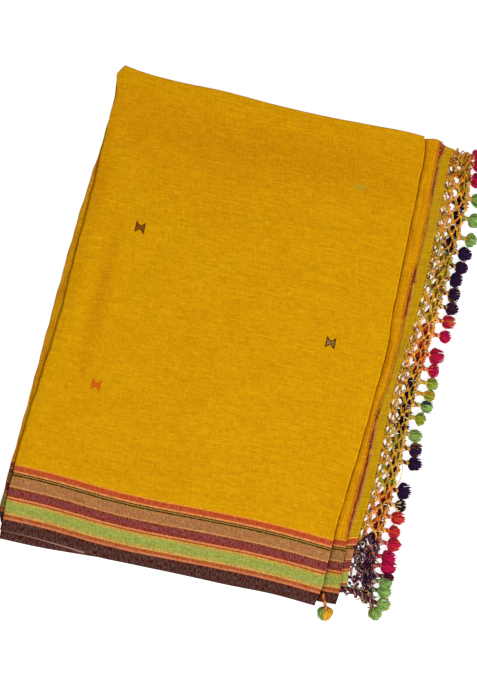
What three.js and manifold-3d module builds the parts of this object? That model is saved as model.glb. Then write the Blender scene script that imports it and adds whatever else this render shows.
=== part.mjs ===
// A folded handloom cotton saree with a knotted net end and wool pompoms, lying flat.
// The cloth is folded once lengthwise, selvedge on selvedge, then folded crosswise into a flat stack.
// X runs from the stack towards the pompoms, Y from the selvedges up to the lengthwise fold, Z is up.
// The origin is the middle of the underside's bounds. Millimetres.

import * as THREE from 'three';
import * as BufferGeometryUtils from 'three/addons/utils/BufferGeometryUtils.js';
import Module from 'manifold-3d';

const wasm = await Module();
wasm.setup();

// The cloth and the stack that it is folded into
const clothThickness = 1.5;
const topClothThickness = 1.6;
const pieceGap = 0.3;
const foldThickness = 1.5;
const foldRounding = 0.5;
const grooveDepth = 0.9;

// The net and its pompoms
const netCells = 34;
const netEdgeNotch = 3;
const netHeadInset = 2;
const netFootInset = 1;
const seamGap = 0.3;
const lowerEndSetBack = 19;
const stemRootInset = 4;
const stemEndMargin = 3;
const stemRadius = 1;
const neckRadius = 1.5;
const neckReach = 0.62;
const neckFall = 0.7;
const lowerPompoms = 32;
const lowerHeadMargin = 6;
const lowerFootMargin = 10;
const lowerPompomReach = 12;
const pompomAcross = 14;
const pompomHeight = 11.4;
const lowerPompomHeight = 10.6;
const floorClearance = 0.45;

// The tables below are measured from the middle of the top panel; this moves them to the origin.
const layoutMiddle = { x: 29.8, y: -3.15 };

// Side edges: a row for each bend, with the x that the edge has at that y
const topPanelLeft = [
  { at: -300, is: -205 },
  { at: -279, is: -205.5 },
  { at: -225, is: -207.5 },
  { at: -160, is: -206 },
  { at: -80, is: -199 },
  { at: 0, is: -193 },
  { at: 50, is: -192 },
  { at: 150, is: -188 },
  { at: 215, is: -187.5 },
  { at: 264, is: -186 },
  { at: 285, is: -190 },
  { at: 297, is: -183 },
];
const topPanelRight = [
  { at: -287, is: 179.5 },
  { at: -270, is: 182.5 },
  { at: -230, is: 184 },
  { at: -185, is: 184.5 },
  { at: -145, is: 187.2 },
  { at: -105, is: 190.5 },
  { at: -40, is: 194.2 },
  { at: 5, is: 196.5 },
  { at: 35, is: 197.6 },
  { at: 65, is: 195.3 },
  { at: 130, is: 193.8 },
  { at: 235, is: 191.8 },
  { at: 272, is: 190.5 },
  { at: 292, is: 187 },
];
const stackLeft = [
  { at: -271, is: -209.5 },
  { at: -258, is: -214.5 },
  { at: -240, is: -215.4 },
  { at: -150, is: -211 },
  { at: -80, is: -207.3 },
  { at: 0, is: -204 },
  { at: 60, is: -201 },
  { at: 115, is: -197.5 },
  { at: 160, is: -193.5 },
  { at: 200, is: -189.5 },
  { at: 264, is: -187 },
  { at: 284, is: -187.5 },
  { at: 297, is: -180 },
];
const plainEndRight = [
  { at: -281, is: 205 },
  { at: -262, is: 205.5 },
  { at: -230, is: 202.5 },
  { at: -180, is: 199.8 },
  { at: -100, is: 202.5 },
  { at: -45, is: 203.5 },
  { at: -20, is: 207 },
  { at: 60, is: 211 },
  { at: 110, is: 208.5 },
  { at: 150, is: 211.5 },
  { at: 200, is: 211.5 },
  { at: 260, is: 208.5 },
  { at: 291, is: 208 },
];
const palluEnd = [
  { at: -264, is: 212.5 },
  { at: -225, is: 212.5 },
  { at: -165, is: 215.5 },
  { at: -140, is: 217.3 },
  { at: -5, is: 217.5 },
  { at: 50, is: 222 },
  { at: 100, is: 225 },
  { at: 150, is: 225.5 },
  { at: 240, is: 224 },
  { at: 272, is: 223.5 },
  { at: 285, is: 226 },
];
const netOuterEdge = [
  { at: -273, is: 247 },
  { at: -230, is: 241 },
  { at: -180, is: 240 },
  { at: -120, is: 243.5 },
  { at: -60, is: 243 },
  { at: 0, is: 243.5 },
  { at: 60, is: 247.5 },
  { at: 150, is: 251.5 },
  { at: 240, is: 253.5 },
  { at: 281, is: 247 },
];
const stackRight = [
  { at: -276, is: 200 },
  { at: -150, is: 206 },
  { at: 0, is: 208 },
  { at: 100, is: 214 },
  { at: 200, is: 214 },
  { at: 282, is: 210 },
];

// Head and foot edges: a row for each bend, with the y that the edge has at that x
const headFold = [
  { at: -183, is: 297 },
  { at: -160, is: 293.8 },
  { at: -120, is: 291.8 },
  { at: -60, is: 292.5 },
  { at: 0, is: 290 },
  { at: 60, is: 289.3 },
  { at: 120, is: 291 },
  { at: 170, is: 292.3 },
  { at: 187, is: 291.5 },
];
const endsHead = [
  { at: -187, is: 288 },
  { at: 187, is: 289.3 },
  { at: 205, is: 291.5 },
  { at: 213, is: 288 },
  { at: 228, is: 285 },
];
const stackHead = [
  { at: -187, is: 288 },
  { at: 0, is: 286 },
  { at: 214, is: 282 },
];
const topPanelFoot = [
  { at: -205.5, is: -279 },
  { at: -165, is: -280.8 },
  { at: -130, is: -283.3 },
  { at: -95, is: -286 },
  { at: 0, is: -284 },
  { at: 60, is: -283 },
  { at: 130, is: -285 },
  { at: 179.5, is: -287 },
];
const lowerHalfFoot = [
  { at: -205.5, is: -290.3 },
  { at: -160, is: -290.3 },
  { at: -120, is: -288.5 },
  { at: -95, is: -287 },
  { at: -40, is: -283.5 },
  { at: 60, is: -281.5 },
  { at: 178, is: -284 },
];
const stackFoot = [
  { at: -209.5, is: -271 },
  { at: -100, is: -278 },
  { at: 60, is: -279 },
  { at: 178, is: -282 },
  { at: 205, is: -281 },
];
const palluFoot = [
  { at: -209, is: -270 },
  { at: 150, is: -272 },
  { at: 204, is: -266.5 },
  { at: 212.5, is: -264 },
];

const noSetBack = { left: 0, right: 0, head: 0, foot: 0 };

// Hidden folds, from the bottom up: how far each one stands back from the stack's edges
const foldSetBacks = [
  { left: 2.2, right: 2.5, head: 1.0, foot: 2.4 },
  { left: 3.6, right: 5.2, head: 2.6, foot: 1.2 },
  { left: 1.8, right: 3.0, head: 0.8, foot: 3.8 },
  { left: 3.0, right: 6.4, head: 2.2, foot: 1.8 },
  { left: 2.4, right: 4.0, head: 1.4, foot: 3.0 },
];

// Pompoms of the upper net: where each one lies, and its size across and along its stem
const upperPompoms = [
  { y: 283, x: 259, across: 14, along: 14 },
  { y: 269, x: 263, across: 13.5, along: 14 },
  { y: 251, x: 265, across: 15, along: 14.5 },
  { y: 231, x: 266.5, across: 15, along: 15 },
  { y: 207, x: 268, across: 15.5, along: 14 },
  { y: 183, x: 268.5, across: 15, along: 13 },
  { y: 165, x: 265, across: 14.5, along: 15 },
  { y: 148, x: 264.5, across: 13.5, along: 14.5 },
  { y: 132, x: 261.3, across: 16.5, along: 13 },
  { y: 114, x: 263, across: 17, along: 14 },
  { y: 97, x: 264, across: 13.5, along: 13.5 },
  { y: 80, x: 263.5, across: 15, along: 14 },
  { y: 62, x: 263, across: 13.5, along: 12.5 },
  { y: 37, x: 258.5, across: 17.5, along: 16 },
  { y: 19, x: 258.5, across: 15, along: 12 },
  { y: 3, x: 260.5, across: 13, along: 12.5 },
  { y: -11, x: 260, across: 12.5, along: 12.5 },
  { y: -25, x: 260, across: 14, along: 13 },
  { y: -41, x: 255.7, across: 14, along: 12 },
  { y: -62, x: 254, across: 13.5, along: 15 },
  { y: -79, x: 257.8, across: 16.5, along: 13.5 },
  { y: -96, x: 260.7, across: 15, along: 15 },
  { y: -131, x: 255, across: 19, along: 14.5 },
  { y: -149, x: 255, across: 13.5, along: 12 },
  { y: -164, x: 255, across: 14, along: 15 },
  { y: -181, x: 254.5, across: 13.5, along: 13.5 },
  { y: -196, x: 257.3, across: 15, along: 15 },
  { y: -218, x: 255.5, across: 24, along: 17 },
  { y: -236, x: 259, across: 10, along: 12 },
  { y: -250, x: 259.5, across: 17, along: 15 },
  { y: -275, x: 260, across: 26, along: 14.5 },
];

// The loose tassel at the corner of the selvedges
const tasselCord = [
  { x: 186.5, y: -271, z: 16.3 },
  { x: 191, y: -280, z: 16.3 },
  { x: 193.6, y: -285.5, z: 13.2 },
];
const tasselCordRadius = 1.1;
const tasselPompom = { x: 195, y: -296, across: 18, along: 14 };

// Rows of gaps in the net, from the cloth's end outwards: middle, half width and half length
const netGaps = [
  { middle: 0.16, halfWidth: 0.075, halfLength: 4.3, corners: 4, staggered: false },
  { middle: 0.385, halfWidth: 0.14, halfLength: 4.8, corners: 6, staggered: true },
  { middle: 0.64, halfWidth: 0.15, halfLength: 5.6, corners: 4, staggered: false },
];

// Rings round one hidden fold: share of its thickness, and how far the ring is moved in
const foldRings = [
  { level: 0, inset: grooveDepth },
  { level: 0.25, inset: foldRounding / 3 },
  { level: 0.5, inset: 0 },
  { level: 0.75, inset: foldRounding / 3 },
];

// Slices through a pompom: way along it from its middle, and share of its full size
const pompomSlices = [
  { way: -0.46, size: 0.42 },
  { way: -0.27, size: 0.84 },
  { way: 0, size: 1 },
  { way: 0.27, size: 0.84 },
  { way: 0.5, size: 0.3 },
];

const yellowCotton = { color: 0xd39c08, roughness: 0.85, metalness: 0 };
const oliveCotton = { color: 0xb9971c, roughness: 0.85, metalness: 0 };
const netCord = { color: 0xd08a3a, roughness: 0.8, metalness: 0 };
const tasselWool = { color: 0xd88a1a, roughness: 0.95, metalness: 0 };

// Value of an edge's table at a place along it
function edgeAt(rows, place) {
  let upper = rows.findIndex((row) => row.at >= place);
  if (upper < 0) {
    upper = rows.length - 1;
  }
  upper = Math.max(upper, 1);
  const before = rows[upper - 1];
  const after = rows[upper];
  return THREE.MathUtils.mapLinear(place, before.at, after.at, before.is, after.is);
}

// Corner where a side edge meets a head or foot edge
function cornerOf(sideEdge, endEdge) {
  const corner = new THREE.Vector2(sideEdge(0), 0);
  for (let round = 0; round < 12; round += 1) {
    corner.y = endEdge(corner.x);
    corner.x = sideEdge(corner.y);
  }
  return corner;
}

// A panel's four edges, each moved in by its set-back, and the corners where they meet
function panelFrame(edges, setBack) {
  const left = (y) => edgeAt(edges.left, y) + setBack.left;
  const right = (y) => edgeAt(edges.right, y) - setBack.right;
  const head = (x) => edgeAt(edges.head, x) - setBack.head;
  const foot = (x) => edgeAt(edges.foot, x) + setBack.foot;
  const footLeft = cornerOf(left, foot);
  const footRight = cornerOf(right, foot);
  const headRight = cornerOf(right, head);
  const headLeft = cornerOf(left, head);
  return { left, right, head, foot, footLeft, footRight, headRight, headLeft };
}

// Shares of the way from one corner to the next at which an edge bends
function bendsBetween(rows, from, to) {
  const shares = rows.map((row) => (row.at - from) / (to - from));
  return shares.filter((share) => share > 0.01 && share < 0.99).sort((a, b) => a - b);
}

// Edge tables of a panel with the bends that all its outlines share
function withBends(edges) {
  const { footLeft, footRight, headRight, headLeft } = panelFrame(edges, noSetBack);
  const bends = {
    foot: bendsBetween(edges.foot, footLeft.x, footRight.x),
    right: bendsBetween(edges.right, footRight.y, headRight.y),
    head: bendsBetween(edges.head, headRight.x, headLeft.x),
    left: bendsBetween(edges.left, headLeft.y, footLeft.y),
  };
  return { ...edges, bends };
}

// A panel's outline, counter-clockwise from the left foot corner
function panelOutline(edges, setBack = noSetBack) {
  const { bends } = edges;
  const frame = panelFrame(edges, setBack);
  const { left, right, head, foot, footLeft, footRight, headRight, headLeft } = frame;
  const alongEnd = (edge, from, to) => (share) => {
    const x = THREE.MathUtils.lerp(from.x, to.x, share);
    return new THREE.Vector2(x, edge(x));
  };
  const alongSide = (edge, from, to) => (share) => {
    const y = THREE.MathUtils.lerp(from.y, to.y, share);
    return new THREE.Vector2(edge(y), y);
  };
  return [
    footLeft,
    ...bends.foot.map(alongEnd(foot, footLeft, footRight)),
    footRight,
    ...bends.right.map(alongSide(right, footRight, headRight)),
    headRight,
    ...bends.head.map(alongEnd(head, headRight, headLeft)),
    headLeft,
    ...bends.left.map(alongSide(left, headLeft, footLeft)),
  ];
}

// An outline moved inwards by a distance, corner by corner
function movedIn(outline, distance) {
  return outline.map((point, index) => {
    const before = outline[(index + outline.length - 1) % outline.length];
    const after = outline[(index + 1) % outline.length];
    const arriving = point.clone().sub(before).normalize();
    const leaving = after.clone().sub(point).normalize();
    const inward = new THREE.Vector2(-arriving.y - leaving.y, arriving.x + leaving.x).normalize();
    return point.clone().addScaledVector(inward, distance);
  });
}

// Closed solid through a stack of rings that have the same number of points
function loft(rings, capTriangles) {
  const count = rings[0].length;
  const positions = rings.flat().flatMap((point) => [point.x, point.y, point.z]);
  const triangles = [];
  for (let level = 0; level < rings.length - 1; level += 1) {
    for (let index = 0; index < count; index += 1) {
      const here = level * count + index;
      const next = level * count + ((index + 1) % count);
      triangles.push(here, next, next + count);
      triangles.push(here, next + count, here + count);
    }
  }
  const topStart = (rings.length - 1) * count;
  for (const [a, b, c] of capTriangles) {
    triangles.push(c, b, a);
    triangles.push(topStart + a, topStart + b, topStart + c);
  }
  const geometry = new THREE.BufferGeometry();
  geometry.setAttribute('position', new THREE.Float32BufferAttribute(positions, 3));
  geometry.setIndex(triangles);
  return geometry;
}

const atHeight = (outline, z) => outline.map((point) => new THREE.Vector3(point.x, point.y, z));

// Flat cloth with rounded edges
function clothPanel(edges, bottom, thickness, setBack) {
  const outline = panelOutline(edges, setBack);
  const inside = movedIn(outline, foldRounding);
  const rings = [
    atHeight(inside, bottom),
    atHeight(outline, bottom + thickness / 2),
    atHeight(inside, bottom + thickness),
  ];
  return loft(rings, THREE.ShapeUtils.triangulateShape(inside, []));
}

// The folds that don't show, as one solid with a rounded edge and a groove for each fold
function foldedStack(edges, bottom) {
  const rings = [];
  let outline = [];
  foldSetBacks.forEach((setBack, fold) => {
    outline = panelOutline(edges, setBack);
    for (const { level, inset } of foldRings) {
      rings.push(atHeight(movedIn(outline, inset), bottom + (fold + level) * foldThickness));
    }
  });
  const last = movedIn(outline, grooveDepth);
  rings.push(atHeight(last, bottom + foldSetBacks.length * foldThickness));
  return loft(rings, THREE.ShapeUtils.triangulateShape(last, []));
}

// A lock of yarn: rings of four points along a path, as wide and high as each station says
function yarnLock(stations) {
  const up = new THREE.Vector3(0, 0, 1);
  const rings = stations.map((station, index) => {
    const before = stations[Math.max(index - 1, 0)].place;
    const after = stations[Math.min(index + 1, stations.length - 1)].place;
    const travel = after.clone().sub(before).setZ(0).normalize();
    const aside = up.clone().cross(travel);
    return [
      station.place.clone().addScaledVector(aside, station.across / 2),
      station.place.clone().addScaledVector(up, station.high / 2),
      station.place.clone().addScaledVector(aside, -station.across / 2),
      station.place.clone().addScaledVector(up, -station.high / 2),
    ];
  });
  const squareCap = [[0, 1, 2], [0, 2, 3]];
  return loft(rings, squareCap);
}

// Stations of a pompom: a ball that swells and closes along the way that its stem points
function pompomStations(middle, direction, across, along, high) {
  return pompomSlices.map((slice) => ({
    place: middle.clone().addScaledVector(direction, slice.way * along),
    across: across * slice.size,
    high: high * slice.size,
  }));
}

// A stem that hangs from the net's edge with a pompom at its end
function hangingPompom(root, middle, across, along, high) {
  const direction = middle.clone().sub(root).setZ(0).normalize();
  const neck = middle.clone().addScaledVector(direction, -along * neckReach);
  neck.z = THREE.MathUtils.lerp(root.z, middle.z, neckFall);
  const stations = [
    { place: root, across: stemRadius * 2, high: stemRadius * 1.2 },
    { place: neck, across: neckRadius * 2, high: neckRadius * 2 },
    ...pompomStations(middle, direction, across, along, high),
  ];
  return yarnLock(stations);
}

// Place on a net: share 0 to 1 from the head to the foot, and 0 to 1 from the cloth outwards
function netPlace(setBack, alongShare, acrossShare) {
  const headInner = palluEnd.at(-1).at - netHeadInset;
  const footInner = palluEnd[0].at + netFootInset;
  const headOuter = netOuterEdge.at(-1).at;
  const footOuter = netOuterEdge[0].at;
  const innerY = THREE.MathUtils.lerp(headInner, footInner, alongShare);
  const outerY = THREE.MathUtils.lerp(headOuter, footOuter, alongShare);
  const inner = new THREE.Vector2(edgeAt(palluEnd, innerY) + seamGap, innerY);
  const outer = new THREE.Vector2(edgeAt(netOuterEdge, outerY), outerY);
  const place = inner.lerp(outer, acrossShare);
  place.x -= setBack;
  return place;
}

// The knotted net as a plate with its gaps cut through and a notched outer edge
function netPlate(setBack, bottom) {
  const notchShare = netEdgeNotch / (edgeAt(netOuterEdge, 0) - edgeAt(palluEnd, 0));
  const outline = [];
  for (let cell = 0; cell <= netCells; cell += 2) {
    outline.push(netPlace(setBack, cell / netCells, 0));
  }
  for (let cell = netCells - 1; cell >= 0; cell -= 1) {
    outline.push(netPlace(setBack, (cell + 1) / netCells, 1 - notchShare));
    outline.push(netPlace(setBack, (cell + 0.5) / netCells, 1));
  }
  outline.push(netPlace(setBack, 0, 1 - notchShare));
  const shape = new THREE.Shape(outline);
  for (const row of netGaps) {
    const first = row.staggered ? 1 : 0.5;
    for (let cell = first; cell < netCells; cell += 1) {
      const middle = netPlace(setBack, cell / netCells, row.middle);
      const tip = netPlace(setBack, cell / netCells, row.middle + row.halfWidth);
      const halfWidth = tip.distanceTo(middle);
      const corners = [];
      for (let corner = 0; corner < row.corners; corner += 1) {
        const angle = (corner / row.corners) * 2 * Math.PI;
        const x = middle.x + halfWidth * Math.cos(angle);
        const y = middle.y + row.halfLength * Math.sin(angle);
        corners.push(new THREE.Vector2(x, y));
      }
      shape.holes.push(new THREE.Path(corners));
    }
  }
  const plate = new THREE.ExtrudeGeometry(shape, { depth: clothThickness, bevelEnabled: false });
  plate.translate(0, 0, bottom);
  return plate;
}

function toManifold(geometry) {
  const bare = geometry.clone();
  bare.deleteAttribute('normal');
  bare.deleteAttribute('uv');
  const merged = BufferGeometryUtils.mergeVertices(bare, 1e-4);
  const mesh = new wasm.Mesh({
    numProp: 3,
    vertProperties: Float32Array.from(merged.attributes.position.array),
    triVerts: Uint32Array.from(merged.index.array),
  });
  return new wasm.Manifold(mesh);
}

function fused(geometries) {
  let solid = toManifold(geometries[0]);
  for (const geometry of geometries.slice(1)) {
    solid = solid.add(toManifold(geometry));
  }
  const mesh = solid.getMesh();
  const result = new THREE.BufferGeometry();
  result.setAttribute('position', new THREE.Float32BufferAttribute(mesh.vertProperties, 3));
  result.setIndex(new THREE.Uint32BufferAttribute(mesh.triVerts, 1));
  return result;
}

// The upper half's net, with its pompoms where they lie on the surface
function upperFringe(bottom) {
  const rootHeight = bottom + clothThickness / 2;
  const footY = netOuterEdge[0].at + stemEndMargin;
  const headY = netOuterEdge.at(-1).at - stemEndMargin;
  const pieces = [netPlate(0, bottom)];
  for (const pompom of upperPompoms) {
    const rootY = THREE.MathUtils.clamp(pompom.y, footY, headY);
    const root = new THREE.Vector3(edgeAt(netOuterEdge, rootY) - stemRootInset, rootY, rootHeight);
    const middle = new THREE.Vector3(pompom.x, pompom.y, floorClearance + pompomHeight / 2);
    pieces.push(hangingPompom(root, middle, pompom.across, pompom.along, pompomHeight));
  }
  return fused(pieces);
}

// The lower half's net, set back under the upper one, with its pompoms evenly spaced
function lowerFringe(bottom) {
  const rootHeight = bottom + clothThickness / 2;
  const headY = netOuterEdge.at(-1).at - lowerHeadMargin;
  const footY = netOuterEdge[0].at + lowerFootMargin;
  const pieces = [netPlate(lowerEndSetBack, bottom)];
  for (let index = 0; index < lowerPompoms; index += 1) {
    const y = THREE.MathUtils.lerp(headY, footY, index / (lowerPompoms - 1));
    const edgeX = edgeAt(netOuterEdge, y) - lowerEndSetBack;
    const root = new THREE.Vector3(edgeX - stemRootInset, y, rootHeight);
    const height = floorClearance + lowerPompomHeight / 2;
    const middle = new THREE.Vector3(edgeX + lowerPompomReach, y, height);
    pieces.push(hangingPompom(root, middle, pompomAcross, pompomAcross, lowerPompomHeight));
  }
  return fused(pieces);
}

// The loose tassel: a cord over the corner of the cloth, and its pompom on the surface
function cornerTassel() {
  const cord = tasselCord.map((row) => ({
    place: new THREE.Vector3(row.x, row.y, row.z),
    across: tasselCordRadius * 2,
    high: tasselCordRadius * 2,
  }));
  const height = floorClearance + pompomHeight / 2;
  const middle = new THREE.Vector3(tasselPompom.x, tasselPompom.y, height);
  const direction = middle.clone().sub(cord.at(-1).place).setZ(0).normalize();
  const ball = pompomStations(middle, direction, tasselPompom.across, tasselPompom.along, pompomHeight);
  return yarnLock([...cord, ...ball]);
}

const group = new THREE.Group();
group.position.set(-layoutMiddle.x, -layoutMiddle.y, 0);

function addPiece(name, geometry, finish) {
  geometry.computeVertexNormals();
  const mesh = new THREE.Mesh(geometry, new THREE.MeshStandardMaterial(finish));
  mesh.name = name;
  group.add(mesh);
}

// Stretches of the cloth, from the surface up
const stackEdges = withBends({ left: stackLeft, right: stackRight, head: stackHead, foot: stackFoot });
const palluEdges = withBends({ left: stackLeft, right: palluEnd, head: endsHead, foot: palluFoot });
const plainEndEdges = withBends({ left: stackLeft, right: plainEndRight, head: endsHead, foot: stackFoot });
const underPanelEdges = withBends({
  left: stackLeft,
  right: topPanelRight,
  head: headFold,
  foot: stackFoot,
});
const lowerHalfEdges = withBends({
  left: topPanelLeft,
  right: topPanelRight,
  head: headFold,
  foot: lowerHalfFoot,
});
const topPanelEdges = withBends({
  left: topPanelLeft,
  right: topPanelRight,
  head: headFold,
  foot: topPanelFoot,
});

const foldsBottom = clothThickness + pieceGap;
const lowerPalluBottom = foldsBottom + foldSetBacks.length * foldThickness + pieceGap;
const upperPalluBottom = lowerPalluBottom + clothThickness + pieceGap;
const plainEndBottom = upperPalluBottom + clothThickness + pieceGap;
const underPanelBottom = plainEndBottom + clothThickness + pieceGap;
const lowerHalfBottom = underPanelBottom + clothThickness + pieceGap;
const topPanelBottom = lowerHalfBottom + clothThickness + pieceGap;

addPiece(
  'bottom_panel',
  clothPanel(stackEdges, 0, clothThickness, { left: 1.2, right: 1, head: 0.6, foot: 1 }),
  yellowCotton,
);
addPiece('inner_folds', foldedStack(stackEdges, foldsBottom), yellowCotton);
addPiece(
  'pallu_lower',
  clothPanel(palluEdges, lowerPalluBottom, clothThickness, {
    left: 2.6,
    right: lowerEndSetBack,
    head: 3.5,
    foot: 3,
  }),
  oliveCotton,
);
addPiece(
  'pallu_upper',
  clothPanel(palluEdges, upperPalluBottom, clothThickness, { left: 2, right: 0, head: 0.8, foot: 0 }),
  oliveCotton,
);
addPiece(
  'plain_end',
  clothPanel(plainEndEdges, plainEndBottom, clothThickness, { left: 1.4, right: 0, head: 0, foot: 0.4 }),
  yellowCotton,
);
addPiece(
  'under_panel',
  clothPanel(underPanelEdges, underPanelBottom, clothThickness, { left: 0, right: 1.2, head: 2, foot: 0 }),
  yellowCotton,
);
addPiece(
  'top_panel_lower_half',
  clothPanel(lowerHalfEdges, lowerHalfBottom, clothThickness, { left: 0.8, right: 0.6, head: 0.8, foot: 0 }),
  yellowCotton,
);
addPiece('top_panel', clothPanel(topPanelEdges, topPanelBottom, topClothThickness), yellowCotton);
addPiece('fringe_lower', lowerFringe(lowerPalluBottom), netCord);
addPiece('fringe_upper', upperFringe(upperPalluBottom), netCord);
addPiece('corner_tassel', cornerTassel(), tasselWool);

export default group;
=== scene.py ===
import bpy
import math
import random
import numpy as np
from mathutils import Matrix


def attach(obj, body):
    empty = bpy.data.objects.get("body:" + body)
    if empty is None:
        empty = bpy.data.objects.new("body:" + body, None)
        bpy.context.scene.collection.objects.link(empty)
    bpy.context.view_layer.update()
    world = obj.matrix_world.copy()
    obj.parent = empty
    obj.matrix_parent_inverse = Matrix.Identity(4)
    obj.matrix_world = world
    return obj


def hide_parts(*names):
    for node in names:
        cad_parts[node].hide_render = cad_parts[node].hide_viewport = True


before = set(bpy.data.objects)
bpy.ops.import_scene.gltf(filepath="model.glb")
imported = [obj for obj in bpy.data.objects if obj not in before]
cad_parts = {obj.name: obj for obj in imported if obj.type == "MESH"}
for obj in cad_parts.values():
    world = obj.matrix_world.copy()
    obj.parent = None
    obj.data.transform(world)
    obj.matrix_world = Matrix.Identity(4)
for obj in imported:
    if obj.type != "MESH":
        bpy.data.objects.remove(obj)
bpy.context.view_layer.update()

# A folded handloom cotton saree with a knotted net end and wool pompoms, lying flat.
# Sizes below are in mm from the middle of the top panel; partMiddle moves them to the part's origin.
mm = 0.001
partMiddle = (29.8, -3.15)

# camera, straight above the cloth and turned as it lies

cameraView = {"aimX": -8.0, "aimY": 7.35, "height": 2290, "turn": 12.5, "lens": 100, "sensor": 36}

bpy.ops.object.select_all(action="DESELECT")
bpy.ops.object.camera_add(
    location=(cameraView["aimX"] * mm, cameraView["aimY"] * mm, cameraView["height"] * mm),
    rotation=(0, 0, math.radians(cameraView["turn"])),
)
camera = bpy.context.object
camera.name = "photoCamera"
camera.data.lens = cameraView["lens"]
camera.data.sensor_width = cameraView["sensor"]
bpy.context.scene.camera = camera
print("camera set")

# edges of the cloth: a pair for each bend, the place along the edge and where it lies there

topPanelLeft = [
    (-300, -208), (-279, -208), (-225, -208.4), (-160, -206), (-80, -199), (0, -193),
    (50, -192), (150, -188), (215, -187.5), (258, -186), (264, -185.7), (266, -185.7), (268, -186.1),
    (282.5, -189.5), (283.5, -189.7), (284.5, -189.6), (286.3, -188.8), (297, -182.3),
]
topPanelRight = [
    (-287, 179.5), (-270, 182.5), (-230, 184), (-185, 184.5), (-145, 187.2), (-105, 190.5),
    (-40, 194.2), (5, 196.5), (35, 197.6), (65, 195.3), (130, 193.8), (235, 191.8),
    (272, 190.5), (292, 187),
]
stackLeft = [
    (-271, -209.5), (-258, -214.2), (-240, -214.4), (-150, -210.4), (-80, -207.3), (0, -204),
    (60, -201), (115, -197.5), (160, -193.5), (200, -189.5), (264, -187), (284, -187.5),
    (297, -180),
]
plainEndRight = [
    (-281, 205), (-262, 205.5), (-230, 202.5), (-180, 199.8), (-100, 202.5), (-45, 203.5),
    (-20, 207), (60, 211), (110, 208.5), (150, 211.5), (200, 211.5), (260, 208.5), (291, 208),
]
palluEnd = [
    (-264, 212.5), (-225, 212.5), (-165, 215.5), (-140, 217.3), (-5, 217.5), (50, 222),
    (100, 225), (150, 225.5), (240, 224), (272, 223.5), (285, 226),
]
netOuterEdge = [
    (-273, 247), (-230, 241), (-180, 240), (-120, 243.5), (-60, 243), (0, 243.5),
    (60, 247.5), (150, 251.5), (240, 253.5), (281, 247),
]
stackRight = [(-276, 200), (-150, 206), (0, 208), (100, 214), (200, 214), (282, 210)]
headFold = [
    (-183, 297), (-160, 293.8), (-120, 291.8), (-60, 292.5), (0, 290), (60, 289.3),
    (120, 291), (170, 292.3), (187, 291.5),
]
endsHead = [(-187, 288), (187, 289.3), (205, 291.5), (213, 288), (228, 285)]
stackHead = [(-187, 288), (0, 286), (214, 282)]
topPanelFoot = [
    (-205.5, -279.9), (-165, -280.8), (-130, -283.3), (-95, -286), (-40, -285.8), (20, -285.2),
    (70, -285.2), (130, -284.2), (179.5, -286.8),
]
borderLine = [
    (-205.5, -279.8), (-165, -280.2), (-130, -281.9), (-95, -284.2), (-50, -285.2), (0, -284.1),
    (50, -282.8), (100, -282.2), (140, -283.4), (179.5, -285.6),
]
lowerHalfFoot = [
    (-205.5, -290.3), (-160, -290.3), (-120, -288.5), (-95, -287), (-40, -283.5),
    (60, -281.5), (178, -284),
]
stackFoot = [(-209.5, -271), (-100, -278), (60, -279), (178, -282), (205, -281)]
palluFoot = [(-209, -270), (150, -272), (204, -266.5), (212.5, -264)]


def edgeAt(pairs, place):
    # a smooth line through the pairs, going on straight past its ends
    at = np.array([pair[0] for pair in pairs], dtype=float)
    lies = np.array([pair[1] for pair in pairs], dtype=float)
    slope = np.gradient(lies, at)
    place = np.asarray(place, dtype=float)
    index = np.clip(np.searchsorted(at, place) - 1, 0, len(at) - 2)
    gap = at[index + 1] - at[index]
    share = np.clip((place - at[index]) / gap, 0, 1)
    beyond = np.where(place < at[0], (place - at[0]) * slope[0], 0)
    beyond = beyond + np.where(place > at[-1], (place - at[-1]) * slope[-1], 0)
    start = (1 + 2 * share) * (1 - share) ** 2 * lies[index]
    leave = share * (1 - share) ** 2 * gap * slope[index]
    end = share ** 2 * (3 - 2 * share) * lies[index + 1]
    arrive = share ** 2 * (share - 1) * gap * slope[index + 1]
    return start + leave + end + arrive + beyond


def onPart(x, y, z):
    return np.stack([(x - partMiddle[0]) * mm, (y - partMiddle[1]) * mm, z * mm], axis=-1)


# shading helpers

studioGain = 1.27  # how much brighter than the colours below the light shows them


def colour(red, green, blue):
    # a colour as the finished picture shows it, 0 to 255, for a shader socket
    def light(value):
        value = value / 255
        return (value / 12.92 if value <= 0.04045 else ((value + 0.055) / 1.055) ** 2.4) / studioGain
    return (light(red), light(green), light(blue), 1)


def addNode(tree, kind, inputs=None, **settings):
    node = tree.nodes.new(kind)
    for name, value in settings.items():
        setattr(node, name, value)
    for name, value in (inputs or {}).items():
        socket = node.inputs[name]
        if isinstance(value, bpy.types.NodeSocket):
            tree.links.new(value, socket)
        else:
            socket.default_value = value
    return node


def reckon(tree, operation, first, second=0.0, third=0.0):
    inputs = {0: first, 1: second, 2: third}
    return addNode(tree, "ShaderNodeMath", inputs, operation=operation).outputs[0]


def reckonVector(tree, operation, *values):
    # SCALE takes a number as its second value, and LENGTH gives one
    names = (0, "Scale") if operation == "SCALE" else (0, 1, 2)
    node = addNode(tree, "ShaderNodeVectorMath", dict(zip(names, values)), operation=operation)
    return node.outputs["Value" if operation == "LENGTH" else "Vector"]


def partsOf(tree, vector):
    return addNode(tree, "ShaderNodeSeparateXYZ", {0: vector}).outputs


def swing(tree, noise, middle, strength):
    # how far a noise lies from its middle, times a strength
    return reckon(tree, "MULTIPLY", reckon(tree, "SUBTRACT", noise, middle), strength)


def drawnOut(tree, value, low, high, first=0.0, last=1.0, **settings):
    # a value that goes from low to high, drawn out to go from first to last
    inputs = {0: value, 1: low, 2: high, 3: first, 4: last}
    return addNode(tree, "ShaderNodeMapRange", inputs, **settings).outputs[0]


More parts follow.
